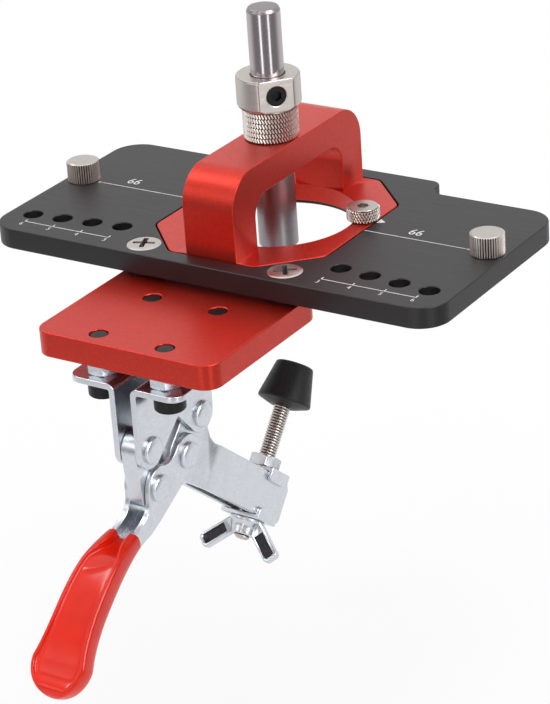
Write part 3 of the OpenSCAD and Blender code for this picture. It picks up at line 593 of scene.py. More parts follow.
@functools.cache
def knurl_tree():
    """Rows of slanted eight-sided bars round a drum."""
    tree, entry = new_tree(
        "knurled_drum",
        {
            "Radius": "Float", "Bottom": "Float", "Rows": "Int", "Row Height": "Float", "Bars": "Int",
            "Depth": "Float", "Width": "Float", "Bar Length": "Float", "Lean": "Float", "Material": "Material",
        },
    )
    size = entry.outputs
    ring = add(
        tree, "GeometryNodeMeshCircle", {"fill_type": "NONE"},
        {"Vertices": size["Bars"], "Radius": size["Radius"]},
    )
    start = add(tree, "ShaderNodeCombineXYZ", inputs={"Z": size["Bottom"]})
    step = add(tree, "ShaderNodeCombineXYZ", inputs={"Z": size["Row Height"]})
    rows = add(
        tree, "GeometryNodeMeshLine", {"mode": "OFFSET"},
        {"Count": size["Rows"], "Start Location": start.outputs[0], "Offset": step.outputs[0]},
    )
    stack = add(
        tree, "GeometryNodeInstanceOnPoints", inputs={"Points": rows.outputs[0], "Instance": ring.outputs[0]}
    )
    points = add(tree, "GeometryNodeRealizeInstances", inputs={"Geometry": stack.outputs[0]})
    bar = add(
        tree, "GeometryNodeMeshCylinder", {"fill_type": "NGON"},
        {"Vertices": 8, "Side Segments": 1, "Radius": 1.0, "Depth": size["Bar Length"]},
    )
    slim = add(tree, "ShaderNodeCombineXYZ", inputs={"X": size["Depth"], "Y": size["Width"], "Z": 1.0})
    shaped = add(
        tree, "GeometryNodeTransform", inputs={"Geometry": bar.outputs["Mesh"], "Scale": slim.outputs[0]}
    )
    outward = add(
        tree, "ShaderNodeVectorMath", {"operation": "MULTIPLY"},
        {0: add(tree, "GeometryNodeInputPosition").outputs[0], 1: (1.0, 1.0, 0.0)},
    )
    facing = add(
        tree, "FunctionNodeAlignRotationToVector", {"axis": "X", "pivot_axis": "Z"},
        {"Vector": outward.outputs[0]},
    )
    tip = add(tree, "FunctionNodeAxisAngleToRotation", inputs={"Axis": (1.0, 0.0, 0.0), "Angle": size["Lean"]})
    leaning = add(
        tree, "FunctionNodeRotateRotation", {"rotation_space": "LOCAL"},
        {"Rotation": facing.outputs[0], "Rotate By": tip.outputs[0]},
    )
    bars = add(
        tree, "GeometryNodeInstanceOnPoints",
        inputs={"Points": points.outputs[0], "Instance": shaped.outputs[0], "Rotation": leaning.outputs[0]},
    )
    return close_tree(tree, entry, bars.outputs[0])


@functools.cache
def thread_tree():
    """V thread that winds up a spindle."""
    tree, entry = new_tree(
        "wound_thread",
        {"Radius": "Float", "Depth": "Float", "Height": "Float", "Turns": "Float", "Material": "Material"},
    )
    size = entry.outputs
    winding = add(
        tree, "GeometryNodeCurveSpiral",
        inputs={
            "Resolution": 28, "Rotations": size["Turns"], "Start Radius": size["Radius"],
            "End Radius": size["Radius"], "Height": size["Height"],
        },
    )
    upright = add(tree, "GeometryNodeSetCurveNormal", {"mode": "Z_UP"}, {"Curve": winding.outputs[0]})
    vee = add(tree, "GeometryNodeCurvePrimitiveCircle", inputs={"Resolution": 4, "Radius": size["Depth"]})
    wound = add(
        tree, "GeometryNodeCurveToMesh",
        inputs={"Curve": upright.outputs[0], "Profile Curve": vee.outputs[0], "Fill Caps": True},
    )
    return close_tree(tree, entry, wound.outputs[0])


@functools.cache
def ticks_tree():
    """Row of printed ticks along a line."""
    tree, entry = new_tree(
        "printed_ticks",
        {"Count": "Int", "Start": "Vector", "Step": "Vector", "Size": "Vector", "Material": "Material"},
    )
    size = entry.outputs
    line = add(
        tree, "GeometryNodeMeshLine", {"mode": "OFFSET"},
        {"Count": size["Count"], "Start Location": size["Start"], "Offset": size["Step"]},
    )
    tick = add(tree, "GeometryNodeMeshCube", inputs={"Size": size["Size"]})
    row = add(
        tree, "GeometryNodeInstanceOnPoints",
        inputs={"Points": line.outputs[0], "Instance": tick.outputs["Mesh"]},
    )
    return close_tree(tree, entry, row.outputs[0])


def knurl(place, radius, low, high, rows, bars, lean, cover, overlap=1.0):
    """Knurled band between two heights of a place, with its ridges' tips on a radius.

    The lean is in radians, and the cover and overlap are shares of the space between bars and between rows.
    """
    depth = sizes().knurl_depth
    row = (high - low) / rows
    mesh = grown(
        knurl_tree(),
        {
            "Radius": radius - depth, "Bottom": low + row / 2, "Rows": rows, "Row Height": row, "Bars": bars,
            "Depth": depth, "Width": cover * 2 * math.pi * radius / bars, "Bar Length": overlap * row,
            "Lean": lean, "Material": finish_of("nickel_steel"),
        },
    )
    mesh.transform(place)
    return smooth(mesh, 60)


# Operators, one for each piece or group of like pieces


class JIG_OT_plates(bpy.types.Operator):
    """Softens the base plate, the clamp plate and the spacers between them"""

    bl_idname = "jig.plates"
    bl_label = "Plates"

    def execute(self, context):
        # The countersinks and the bridge's screw holes come within a radius of the pocket and the window
        screw, hole = centre("plate_screws"), centre("bridge_screws")
        sink, near_hole, ledge = 5 * MM, 3 * MM, 1.1 * MM
        screw.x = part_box("plate_screws")[1].x - sink
        hole.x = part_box("bridge_screws")[1].x - (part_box("bridge_screws")[1].y - hole.y)

        def crowded(point):
            right = Vector((abs(point.x), point.y))
            in_sink = (right - screw.xy).length < sink + 0.2 * MM
            return in_sink or ((right - hole.xy).length < near_hole and point.z < ledge)

        dress("base_plate", sizes().plate_edge, hidden=crowded)
        dress("clamp_plate", sizes().plate_edge)
        dress("plate_spacers", sizes().small_edge)
        return {"FINISHED"}


class JIG_OT_bridge(bpy.types.Operator):
    """Softens the arch and its eight-sided foot"""

    bl_idname = "jig.bridge"
    bl_label = "Bridge"

    def execute(self, context):
        # The legs rise from the foot in a crisp corner, and the window's edge all but meets them
        leg_x, leg_y, seam = 8.6 * MM, 20.5 * MM, 0.4 * MM

        def crowded(point):
            return abs(point.x) < leg_x and abs(point.y) > leg_y and abs(point.z - PLATE_TOP) < seam

        dress("drill_bridge", sizes().bridge_edge, hidden=crowded)
        return {"FINISHED"}


class JIG_OT_bridge_screws(bpy.types.Operator):
    """Makes the two knurled screws with hexagon sockets in the bridge's foot"""

    bl_idname = "jig.bridge_screws"
    bl_label = "Bridge screws"

    def execute(self, context):
        low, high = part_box("bridge_screws")
        seat = PLATE_TOP
        radius = (high.y - low.y) / 2
        depth, rim = sizes().knurl_depth, 0.3 * MM
        core, thread = radius - depth, 0.33 * radius
        socket, socket_depth = hexagon(3.0 * MM, 0.3), 1.9 * MM
        band = {"rows": 2, "bars": 34, "cover": 0.27, "overlap": 1.1}
        parts, shaded_grooves = [], []
        for x in (low.x + radius, high.x - radius):
            place = Matrix.Translation((x, (low.y + high.y) / 2, 0))
            # The drum between the ridges gets painted shade
            shaded_grooves.append(("knurl_painted_shade", on_drum(place, core)))
            profile = eased(
                [
                    (0, low.z, 0), (thread, low.z, 0), (thread, seat, 0), (core, seat, 0),
                    (core, high.z - 0.4 * depth, 0), (core - 0.2 * depth, high.z, 0.1 * MM), (0, high.z, 0),
                ]
            )
            pocket = prism(socket, high.z - socket_depth, high.z + MM, place, "socket")
            parts.append(smooth(carved(lathe(profile, place, "screw"), pocket)))
            for lean in (0.45, -0.45):
                parts.append(knurl(place, radius, seat + rim, high.z - rim, lean=lean, **band))
        mesh = joined(parts, "bridge_screws")
        mount("knurled_bridge_screws", mesh, "jig", "nickel_steel", ["bridge_screws"], shaded_grooves)
        return {"FINISHED"}


class JIG_OT_drill_guide(bpy.types.Operator):
    """Makes the knurled guide bush and the ground drill rod"""

    bl_idname = "jig.drill_guide"
    bl_label = "Drill guide"

    def execute(self, context):
        upright = Matrix.Identity(4)
        low, high, radius = reach("guide_bush", upright)
        foot, top, rod = reach("drill_rod", upright)
        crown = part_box("drill_bridge")[1].z
        bore, sleeve, edge = rod + 0.03 * MM, radius - 1.15 * MM, 0.25 * MM
        core = radius - sizes().knurl_depth
        corners = [
            (bore, low, 0), (sleeve, low, 0), (sleeve, crown, 0), (core, crown, 0),
            (core, high - edge, 0), (core - edge, high, 0), (bore, high, 0),
        ]
        drum = turned(corners, upright, "bush", closed=True)
        band = {"rows": sizes().bush_rows, "bars": sizes().bush_bars, "lean": 0.4, "cover": 0.31, "overlap": 0.9}
        bars = knurl(upright, radius, crown + edge, high - edge, **band)
        # The bars get a painted highlight, and the drum between them painted shade
        finishes = [("knurl_painted_highlight", after(drum)), ("knurl_painted_shade", on_drum(upright, core))]
        mesh = joined([drum, bars], "bush")
        mount("knurled_guide_bush", mesh, "guide_bush", "nickel_steel", ["guide_bush"], finishes)

        shank, chamfer, foot_edge = 4.6 * MM, 1.0 * MM, 0.4 * MM
        socket, socket_top = 2.5 * MM, foot + 10 * MM
        corners = [
            (0, socket_top, 0), (socket, socket_top, 0), (socket, foot, 0), (rod - foot_edge, foot, 0),
            (rod, foot + foot_edge, 0), (rod, high, 0), (shank, high, 0),
            (shank, top - chamfer, 0.3 * MM), (shank - 0.5 * chamfer, top, 0.2 * MM), (0, top, 0),
        ]
        # The bar's ends and its length below the arch's crown get the dull finish with painted shade
        dull_and_shaded = [("turned_steel_painted_shade", lambda face: not crown < face.center.z < top - 1.1 * chamfer)]
        mesh = turned(corners, upright, "drill_rod", 128)
        mount("turned_drill_rod", mesh, "drill_rod", "ground_steel", ["drill_rod"], dull_and_shaded)
        return {"FINISHED"}


class JIG_OT_stop_collar(bpy.types.Operator):
    """Softens the stop collar and its set screw"""

    bl_idname = "jig.stop_collar"
    bl_label = "Stop collar"

    def execute(self, context):
        dress("stop_collar", 0.32 * MM)
        dress("collar_set_screw", 0.12 * MM)
        return {"FINISHED"}


class JIG_OT_thumb_screws(bpy.types.Operator):
    """Makes the two thumb screws with straight knurls"""

    bl_idname = "jig.thumb_screws"
    bl_label = "Thumb screws"

    def execute(self, context):
        seat, thread, edge = PLATE_TOP, 2.5 * MM, 0.2 * MM
        for node in ("thumb_screw_left", "thumb_screw_right"):
            middle = centre(node)
            place = Matrix.Translation((middle.x, middle.y, 0))
            low, high, radius = reach(node, place)
            core = radius - sizes().knurl_depth
            corners = [
                (0, low, 0), (thread, low, 0), (thread, seat, 0), (core - edge, seat, 0), (core, seat + edge, 0),
                (core, high - edge, 0), (core - edge, high, 0.1 * MM), (0, high, 0),
            ]
            drum = turned(corners, place, node)
            band = {"rows": 1, "bars": sizes().thumb_ridges, "lean": 0.0, "cover": 0.27}
            ridges = knurl(place, radius, seat + edge, high - edge, **band)
            # The bars get a painted highlight, and the drum between them painted shade
            finishes = [("knurl_painted_highlight", after(drum)), ("knurl_painted_shade", on_drum(place, core))]
            mount("knurled_" + node, joined([drum, ridges], node), node, "nickel_steel", [node], finishes)
        return {"FINISHED"}


class JIG_OT_plate_screws(bpy.types.Operator):
    """Makes the two countersunk screws with cross recesses in the base plate"""

    bl_idname = "jig.plate_screws"
    bl_label = "Plate screws"

    def execute(self, context):
        low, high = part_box("plate_screws")
        radius = (high.y - low.y) / 2
        shank = 2.5 * MM
        crown = 0.3 * MM
        arm, width = 3.25 * MM, 0.72 * MM
        cross = []
        for c, s in ((1, 0), (0, 1), (-1, 0), (0, -1)):
            for along, aside in ((width, -width), (arm, -width), (arm, width)):
                cross.append((along * c - aside * s, along * s + aside * c))
        bottom = high.z - 2.4 * MM
        parts = []
        for x in (low.x + radius, high.x - radius):
            place = Matrix.Translation((x, (low.y + high.y) / 2, 0))
            profile = eased(
                [
                    (0, low.z, 0), (shank, low.z, 0), (shank, high.z - (radius - shank), 0),
                    (radius - 0.02 * MM, high.z - 0.15 * MM, 0.15 * MM),
                    (radius - 0.55 * MM, high.z + 0.12 * MM, 0.4 * MM),
                    (0.45 * radius, high.z + crown, 0.6 * MM), (0, high.z + crown, 0),
                ]
            )
            head = lathe(profile, place, "screw")
            aim = place @ Matrix.Rotation(math.radians(20 if x < 0 else 35), 4, "Z")
            recess = prism(cross, bottom, high.z + 0.5 * MM, aim, "recess", 0.5)
            parts.append(smooth(carved(head, recess), 40))

        # The cross recesses get painted shade
        def in_recess(face):
            return bottom - 0.1 * MM < face.center.z < high.z - 0.2 * MM and abs(face.normal.z) < 0.6

        mesh = joined(parts, "plate_screws")
        mount("cross_plate_screws", mesh, "jig", "nickel_steel", ["plate_screws"], [("recess_painted_shade", in_recess)])
        return {"FINISHED"}


class JIG_OT_clamp_frame(bpy.types.Operator):
    """Softens the folded clamp frame, its cap screws and its nuts"""

    bl_idname = "jig.clamp_frame"
    bl_label = "Clamp frame"

    def execute(self, context):
        for node in ("clamp_frame_left", "clamp_frame_right"):
            dress(node, sizes().sheet_edge)
        dress("frame_screws", 0.5 * MM, 4)
        low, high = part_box("frame_nuts")
        flats = 8 * MM
        corner = flats / math.sqrt(3)
        nuts = []
        for x in (low.x + corner, high.x - corner):
            for y in FRAME_SCREW_Y:
                place = Matrix.Translation((x, y * MM, 0))
                nuts.append(hex_nut(place, low.z, high.z, flats, 2.55 * MM))
        mount("chamfered_frame_nuts", joined(nuts, "frame_nuts"), "jig", "zinc_steel", ["frame_nuts"])
        return {"FINISHED"}


class JIG_OT_linkage(bpy.types.Operator):
    """Softens the arm, the link and the handle"""

    bl_idname = "jig.linkage"
    bl_label = "Linkage"

    def execute(self, context):
        for node in ("clamp_arm_left", "clamp_arm_right", "toggle_link"):
            dress(node, sizes().sheet_edge)
        # The tang inside the grip keeps its corners
        grip_mouth = -81.2 * MM
        dress("handle", sizes().sheet_edge, hidden=lambda point: point.y < grip_mouth)
        return {"FINISHED"}


class JIG_OT_rivets(bpy.types.Operator):
    """Makes the four rivets with their domed heads"""

    bl_idname = "jig.rivets"
    bl_label = "Rivets"

    def execute(self, context):
        shanks = {"arm_pivot_rivet": 2.5, "link_pivot_rivet": 2.5, "handle_pivot_rivet": 2.5, "link_rivet": 2.0}
        for node, shank in shanks.items():
            place = axis_place(centre(node), (1, 0, 0))
            _, high, radius = reach(node, place)
            seat = high - 1.3 * MM
            half = [
                (0, high + 0.08 * MM, 0), (0.62 * radius, high + 0.04 * MM, 0.4 * MM),
                (0.88 * radius, high - 0.2 * MM, 0.3 * MM), (radius, high - 0.65 * MM, 0.25 * MM),
                (radius, seat, 0), (shank * MM, seat, 0),
            ]
            corners = half + [(r, -z, ease) for r, z, ease in reversed(half)]
            mesh = turned(corners, place, node, 72, sharp=50)
            mount("domed_" + node, mesh, BODY_OF[node], SLOT_OF[node], [node])
        return {"FINISHED"}


def step(value, low, high):
    """Smooth step from 0 to 1 between two values."""
    t = min(1.0, max(0.0, (value - low) / (high - low)))
    return t * t * (3 - 2 * t)


def mix(a, b, share):
    return a + (b - a) * share


class JIG_OT_grip(bpy.types.Operator):
    """Makes the dipped grip: a channel at its mouth that opens into a dish with a rim"""

    bl_idname = "jig.grip"
    bl_label = "Grip"

    # Shares of the handle's reach and drop that its back line follows, and where the grip starts and is widest
    LINE = ((0.323, 0.344), (0.6, 0.402), (0.788, 0.66), (1.0, 1.0))
    REACH, DROP = 59.4 * MM, 44.8 * MM
    START, BULB = 0.115, 0.84

    def execute(self, context):
        pivot = JOINTS["handle_pivot"]["pos_m"]
        line = [Vector((pivot[1] - a * self.REACH, pivot[2] - b * self.DROP)) for a, b in self.LINE]
        # The mouth's lip is a quarter round, and the stations after it crowd towards the closed end
        stations, lip, lip_steps, lip_end = 110, 0.22 * MM, 4, self.START + 0.012
        rings = []
        for k in range(lip_steps + 1):
            turn = math.radians(90 * k / lip_steps)
            inset = lip * (1 - math.sin(turn))
            rings.append(self.ring(line, self.START, inset, lip * (1 - math.cos(turn))))
        for k in range(1, stations + 1):
            t = self.START + (1 - self.START) * math.sin(math.pi / 2 * k / stations)
            if t > lip_end:
                rings.append(self.ring(line, t, 0, 0))
        shape = bmesh.new()
        loops = [[shape.verts.new(point) for point in ring] for ring in rings]
        shape.faces.new(loops[0])
        shape.faces.new(loops[-1])
        for near, far in zip(loops, loops[1:]):
            for k in range(len(near)):
                m = (k + 1) % len(near)
                shape.faces.new((near[k], near[m], far[m], far[k]))
        bmesh.ops.recalc_face_normals(shape, faces=shape.faces)
        mesh = smooth(from_bmesh(shape, "handle_grip"), 60)
        mount("dipped_grip", mesh, "handle", "red_vinyl", ["handle_grip"])
        return {"FINISHED"}

    def ring(self, line, t, inset, forward):
        """Section of the grip at t, drawn in by an inset and moved forward along the back line."""
        s = 1 - t
        back = s**3 * line[0] + 3 * s * s * t * line[1] + 3 * s * t * t * line[2] + t**3 * line[3]
        run = s * s * (line[1] - line[0]) + 2 * s * t * (line[2] - line[1]) + t * t * (line[3] - line[2])
        run.normalize()
        inward = Vector((run.y, -run.x))
        outline = self.section(t)
        if inset:
            outline = self.drawn_in(outline, inset)
        points = []
        for x, n in outline:
            at = back + run * forward + inward * n
            points.append(Vector((x, at.x, at.y)))
        return points

    def section(self, t):
        """Closed outline (x, depth from the back) at t.

        The grip swells from its mouth to the bulb and closes after it. Near the mouth a narrow channel lies between
        the handle's cheeks, and it opens into a wide shallow dish inside the rim.
        """
        swell = min(1, (t - self.START) / (self.BULB - self.START))
        late = max(0, (t - self.BULB) / (1 - self.BULB))
        close = math.sqrt(max(0.0025, 1 - late**2))
        bulge = 0.45 * math.sin(math.pi / 2 * min(1, swell / 0.6)) + 0.55 * swell**6
        wide = (4.9 + 3.6 * bulge) * MM * close
        deep = (6 + 1.4 * math.sin(math.pi / 2 * min(1, 2.5 * swell)) + 0.3 * math.sin(math.pi * swell)) * MM
        thin = 0.5 * deep * (1 - math.sqrt(max(0.01, 1 - late**4)))
        opened = step(t, 0.15, 0.33)
        rim = mix(wide - 2.1 * MM, min(sizes().grip_rim, 0.25 * wide), opened)
        sunk = mix(3.0 * MM, sizes().dish_depth, opened) * (1 - step(t, 0.9, 0.97))
        inner = wide - rim
        top, low = deep - thin, thin
        floor = top - sunk
        half = [
            (0.1 * inner, floor), (0.3 * inner, floor), (0.5 * inner, floor),
            (0.7 * inner, floor + 0.01 * sunk), (0.86 * inner, floor + 0.04 * sunk),
            (0.97 * inner, floor + 0.3 * sunk), (inner, top - 0.12 * sunk),
            (inner + 0.12 * rim, top - 0.02 * sunk), (inner + 0.3 * rim, top), (wide - 0.5 * rim, top - 0.1 * MM),
            (wide - 0.15 * rim, top - 0.45 * MM * close), (wide, top - 1.2 * MM * close),
            (wide, mix(low, top, 0.5)), (0.93 * wide, mix(low, top, 0.2)),
            (0.7 * wide, mix(low, top, 0.04)), (0.3 * wide, low),
        ]
        outline = half + [(-x, n) for x, n in reversed(half)]
        # A slanted thumb-nail ridge across the start of the dish, left where the dip ran together
        for k, (x, n) in enumerate(outline):
            side = x / inner
            if n < floor + 0.1 * sunk and abs(side) < 0.9:
                bow = 0.352 - 0.055 * side - 0.028 * side * side
                length = step(side, -0.95, -0.6) * (1 - step(side, 0.3, 0.8))
                outline[k] = (x, n + 0.3 * MM * opened * length * math.exp(-(((t - bow) / 0.014) ** 2)))
        # Two rounds of corner cutting
        for _ in range(2):
            cut = []
            for a, b in zip(outline, outline[1:] + outline[:1]):
                cut += [(mix(a[0], b[0], f), mix(a[1], b[1], f)) for f in (0.25, 0.75)]
            outline = cut
        return outline

    def drawn_in(self, outline, inset):
        """Outline moved in by a distance along its normals."""
        result = []
        for k, (x, n) in enumerate(outline):
            before, after = outline[k - 1], outline[(k + 1) % len(outline)]
            along = Vector((after[0] - before[0], after[1] - before[1])).normalized()
            result.append((x + along.y * inset, n - along.x * inset))
        return result


class JIG_OT_spindle(bpy.types.Operator):
    """Makes the threaded spindle with its rubber tip, nut, washers and wing nut"""

    bl_idname = "jig.spindle"
    bl_label = "Spindle"

    def execute(self, context):
        joint = JOINTS["wing_nut_turn"]
        place = axis_place(joint["pos_m"], joint["axis"])
        low, high, radius = reach("spindle", place)
        depth = sizes().thread_depth
        root = radius - depth
        edge = 0.6 * MM
        profile = [(0, low), (root - edge, low), (root, low + edge), (root, high), (0, high)]
        core = lathe(profile, place, "core", 48)
        run = high - low - 2 * edge
        thread = grown(
            thread_tree(),
            {
                "Radius": root, "Depth": depth, "Height": run, "Turns": run / sizes().thread_pitch,
                "Material": finish_of("nickel_steel"),
            },
        )
        thread.transform(place @ Matrix.Translation((0, 0, low + edge)))
        mesh = joined([smooth(core), thread], "spindle")
        mount("threaded_spindle", mesh, "spindle", "nickel_steel", ["spindle"])

        low, high, base = reach("rubber_tip", place)
        bore, neck, skirt = radius + 0.05 * MM, radius + 1.2 * MM, low + 1.5 * MM
        top, inside = 5.4 * MM, skirt + 6.2 * MM
        corners = [
            (bore, low, 0), (neck, low, 0.3 * MM), (base, skirt, 0.5 * MM),
            (base - 0.1 * MM, skirt + 0.8 * MM, 0.3 * MM), (top, high, 0.7 * MM),
            (0.5 * top, high + 0.15 * MM, 0.6 * MM), (0, high + 0.18 * MM, 0), (0, inside, 0), (bore, inside, 0),
        ]
        mesh = turned(corners, place, "tip", closed=True, sharp=50)
        mount("moulded_rubber_tip", mesh, "spindle", "rubber", ["rubber_tip"])

        lift = 0.015 * MM
        for node, way in (("saddle_washer_upper", 1), ("saddle_washer_lower", -1)):
            washer = softened(solid_copy(node), 0.25 * MM)
            washer.transform(Matrix.Translation(place.to_3x3() @ Vector((0, 0, way * lift))))
            mount("soft_" + node, washer, BODY_OF[node], SLOT_OF[node], [node])
        low, high, corner = reach("spindle_nut", place)
        nut = hex_nut(place, low, high, corner * math.sqrt(3), bore)
        mount("chamfered_spindle_nut", nut, "spindle_carriage", "zinc_steel", ["spindle_nut"])
        self.wing_nut(place, bore)
        return {"FINISHED"}

    def wing_nut(self, place, bore):
        """Wing nut with a flared body and two wings that are hollowed on both faces."""
        low, high, _ = reach("wing_nut", place)
        body_r, body_h, wing_l, wing_w, wing_t = 5.0 * MM, 4.8 * MM, 11.2 * MM, 4.5 * MM, 2.4 * MM
        flare = math.radians(-43)
        profile = eased(
            [
                (0, high, 0), (body_r, high, 0.3 * MM), (body_r, high - 0.9 * MM, 0.5 * MM),
                (0.78 * body_r, high - 0.5 * body_h, 0.8 * MM), (0.74 * body_r, high - body_h, 0.5 * MM),
                (0, high - body_h, 0),
            ]
        )
        mesh = lathe(profile, place, "wing_nut", 72)
        root = Vector((0.72 * body_r, high - 0.42 * body_h))
        outline = self.blade(-1.2 * MM, wing_l, wing_w / 2, 1.2 * MM)
        hollow = self.blade(2.6 * MM, wing_l - 0.9 * MM, wing_w / 2 - 0.75 * MM, 0.7 * MM)
        bottom = wing_t / 2 - 0.45 * MM
        hollows = []
        for turn in (0, math.pi):
            side = place @ Matrix.Rotation(turn, 4, "Z")
            flat = side @ Matrix(((1, 0, 0, 0), (0, 0, -1, 0), (0, 1, 0, 0), (0, 0, 0, 1)))
            plane = flat @ Matrix.Translation((root.x, root.y, 0)) @ Matrix.Rotation(flare, 4, "Z")
            wing = softened(prism(outline, -wing_t / 2, wing_t / 2, plane, "wing"), 0.45 * MM)
            mesh = carved(mesh, wing, "UNION")
            hollows += [prism(hollow, *ends, plane, "hollow") for ends in ((-wing_t, -bottom), (bottom, wing_t))]
        for cutter in hollows:
            mesh = carved(mesh, cutter)
        mesh = drilled(mesh, place, bore, low, high + MM)
        across_face = place.to_3x3() @ Vector((0, 1, 0))
        origin = place.translation

        def in_hollow(face):
            off = (face.center - origin).dot(across_face)
            return abs(face.normal.dot(across_face)) > 0.99 and abs(abs(off) - bottom) < 0.02 * MM

        # The hollows get painted shade
        finishes = [("recess_painted_shade", in_hollow)]
        mount("hollowed_wing_nut", smooth(mesh, 40), "wing_nut", "zinc_steel", ["wing_nut"], finishes)

    def blade(self, start, end, half, corner):
        """Outline of a wing along x, with its two outer corners rounded."""
        points = [(start, -half)]
        for middle, first in (((end - corner, -half + corner), -90), ((end - corner, half - corner), 0)):
            for k in range(7):
                turn = math.radians(first + 15 * k)
                points.append((middle[0] + corner * math.cos(turn), middle[1] + corner * math.sin(turn)))
        return points + [(start, half)]


class JIG_OT_print(bpy.types.Operator):
    """Prints the measuring lines, ticks and figures on the base plate"""

    bl_idname = "jig.print"
    bl_label = "Printed marks"

    def execute(self, context):
        top, film = PLATE_TOP, 0.03 * MM
        half = sizes().print_line / 2
        parts = []

        def patch(outline):
            """Film of ink on an outline."""
            parts.append(prism(outline, top, top + film, Matrix.Identity(4), "patch"))

        def stroke(x0, x1, y):
            """Line along X."""
            aside = math.copysign(half, x1 - x0)
            patch([(x0, y - aside), (x1, y - aside), (x1, y + aside), (x0, y + aside)])

        def figures(text, x, y, height, narrow):
            """Plain figures with their lower left corner at a point."""
            curve = bpy.data.curves.new("figures", "FONT")
            curve.body = text
            # A figure is 0.7 as high as its font's size, and is thinned a little
            curve.size = height / 0.7
            curve.offset = -0.008 * height
            curve.extrude = film / 2
            mesh = evaluated(curve)
            mesh.transform(Matrix.Translation((x, y, top + film / 2)) @ Matrix.Diagonal((narrow, 1, 1, 1)))
            parts.append(mesh)

        # Each measuring line runs from just outside the foot to an arrow at the thumb screw's head
        knob_edge = centre("thumb_screw_right").x - 5.2 * MM
        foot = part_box("drill_bridge")[1].x + 0.6 * MM
        arrow, spread = 1.6 * MM, 0.5 * MM
        for hand, figures_x in ((-1, -53.2 * MM), (1, 39.8 * MM)):
            stroke(hand * foot, hand * knob_edge, 0)
            patch([(hand * knob_edge, -spread), (hand * (knob_edge - arrow), 0), (hand * knob_edge, spread)])
            figures("66", figures_x, 2.6 * MM, sizes().print_height, 0.82)
        # Small triangle beside the right bridge screw
        patch([(28.4 * MM, 5.8 * MM), (30.6 * MM, 7.0 * MM), (28.3 * MM, 8.6 * MM)])

        # A rule below each row of stop holes, with a tick and a small figure for each hole
        rule_y, tick_y, tick_h = -32.7 * MM, -32.1 * MM, 1.3 * MM
        first, pitch, count, least = 34.3 * MM, 9.5 * MM, 4, 3
        for hand in (-1, 1):
            stroke(hand * first, hand * (first + (count - 1) * pitch), rule_y)
            ticks = {
                "Count": count, "Start": (hand * first, tick_y, top + film / 2), "Step": (hand * pitch, 0, 0),
                "Size": (2.4 * half, tick_h, film), "Material": finish_of("white_print"),
            }
            parts.append(grown(ticks_tree(), ticks))
            for k in range(count):
                x = hand * (first + k * pitch) - 0.6 * MM
                figures(str(least + k), x, rule_y - 2.5 * MM, 1.7 * MM, 0.9)
        mount("printed_marks", joined(parts, "printed_marks"), "jig", "white_print")
        return {"FINISHED"}


# Floor, low enough for the handle at its lowest
FLOOR_CENTRE = Vector((-0.04, -0.05, CAD_BOX[0][2] - 0.024))
FLOOR_RADIUS = 0.26
# Soft square lamps: name, place, size and power
LAMPS = (
    ("key", (-0.5, -0.8, 0.8), 0.6, 4.5),
    ("fill", (0.95, -0.3, 0.45), 0.5, 2.1),
    ("low", (0.45, -0.7, -0.02), 0.4, 0.6),
    ("top", (-0.1, 0.4, 1.1), 0.9, 10.0),
)
LAMP_AIM = Vector((0, -0.02, -0.02))
# Camera of the photograph: its place, the way its right, top and lens point, and its lens and film in millimetres
CAMERA_PLACE = (0.3895, -0.5826, 0.2949)
CAMERA_RIGHT, CAMERA_UP, CAMERA_AHEAD = (0.844, 0.533, -0.064), (-0.180, 0.392, 0.902), (-0.506, 0.749, -0.427)
CAMERA_LENS, CAMERA_FILM = 139.9, 36


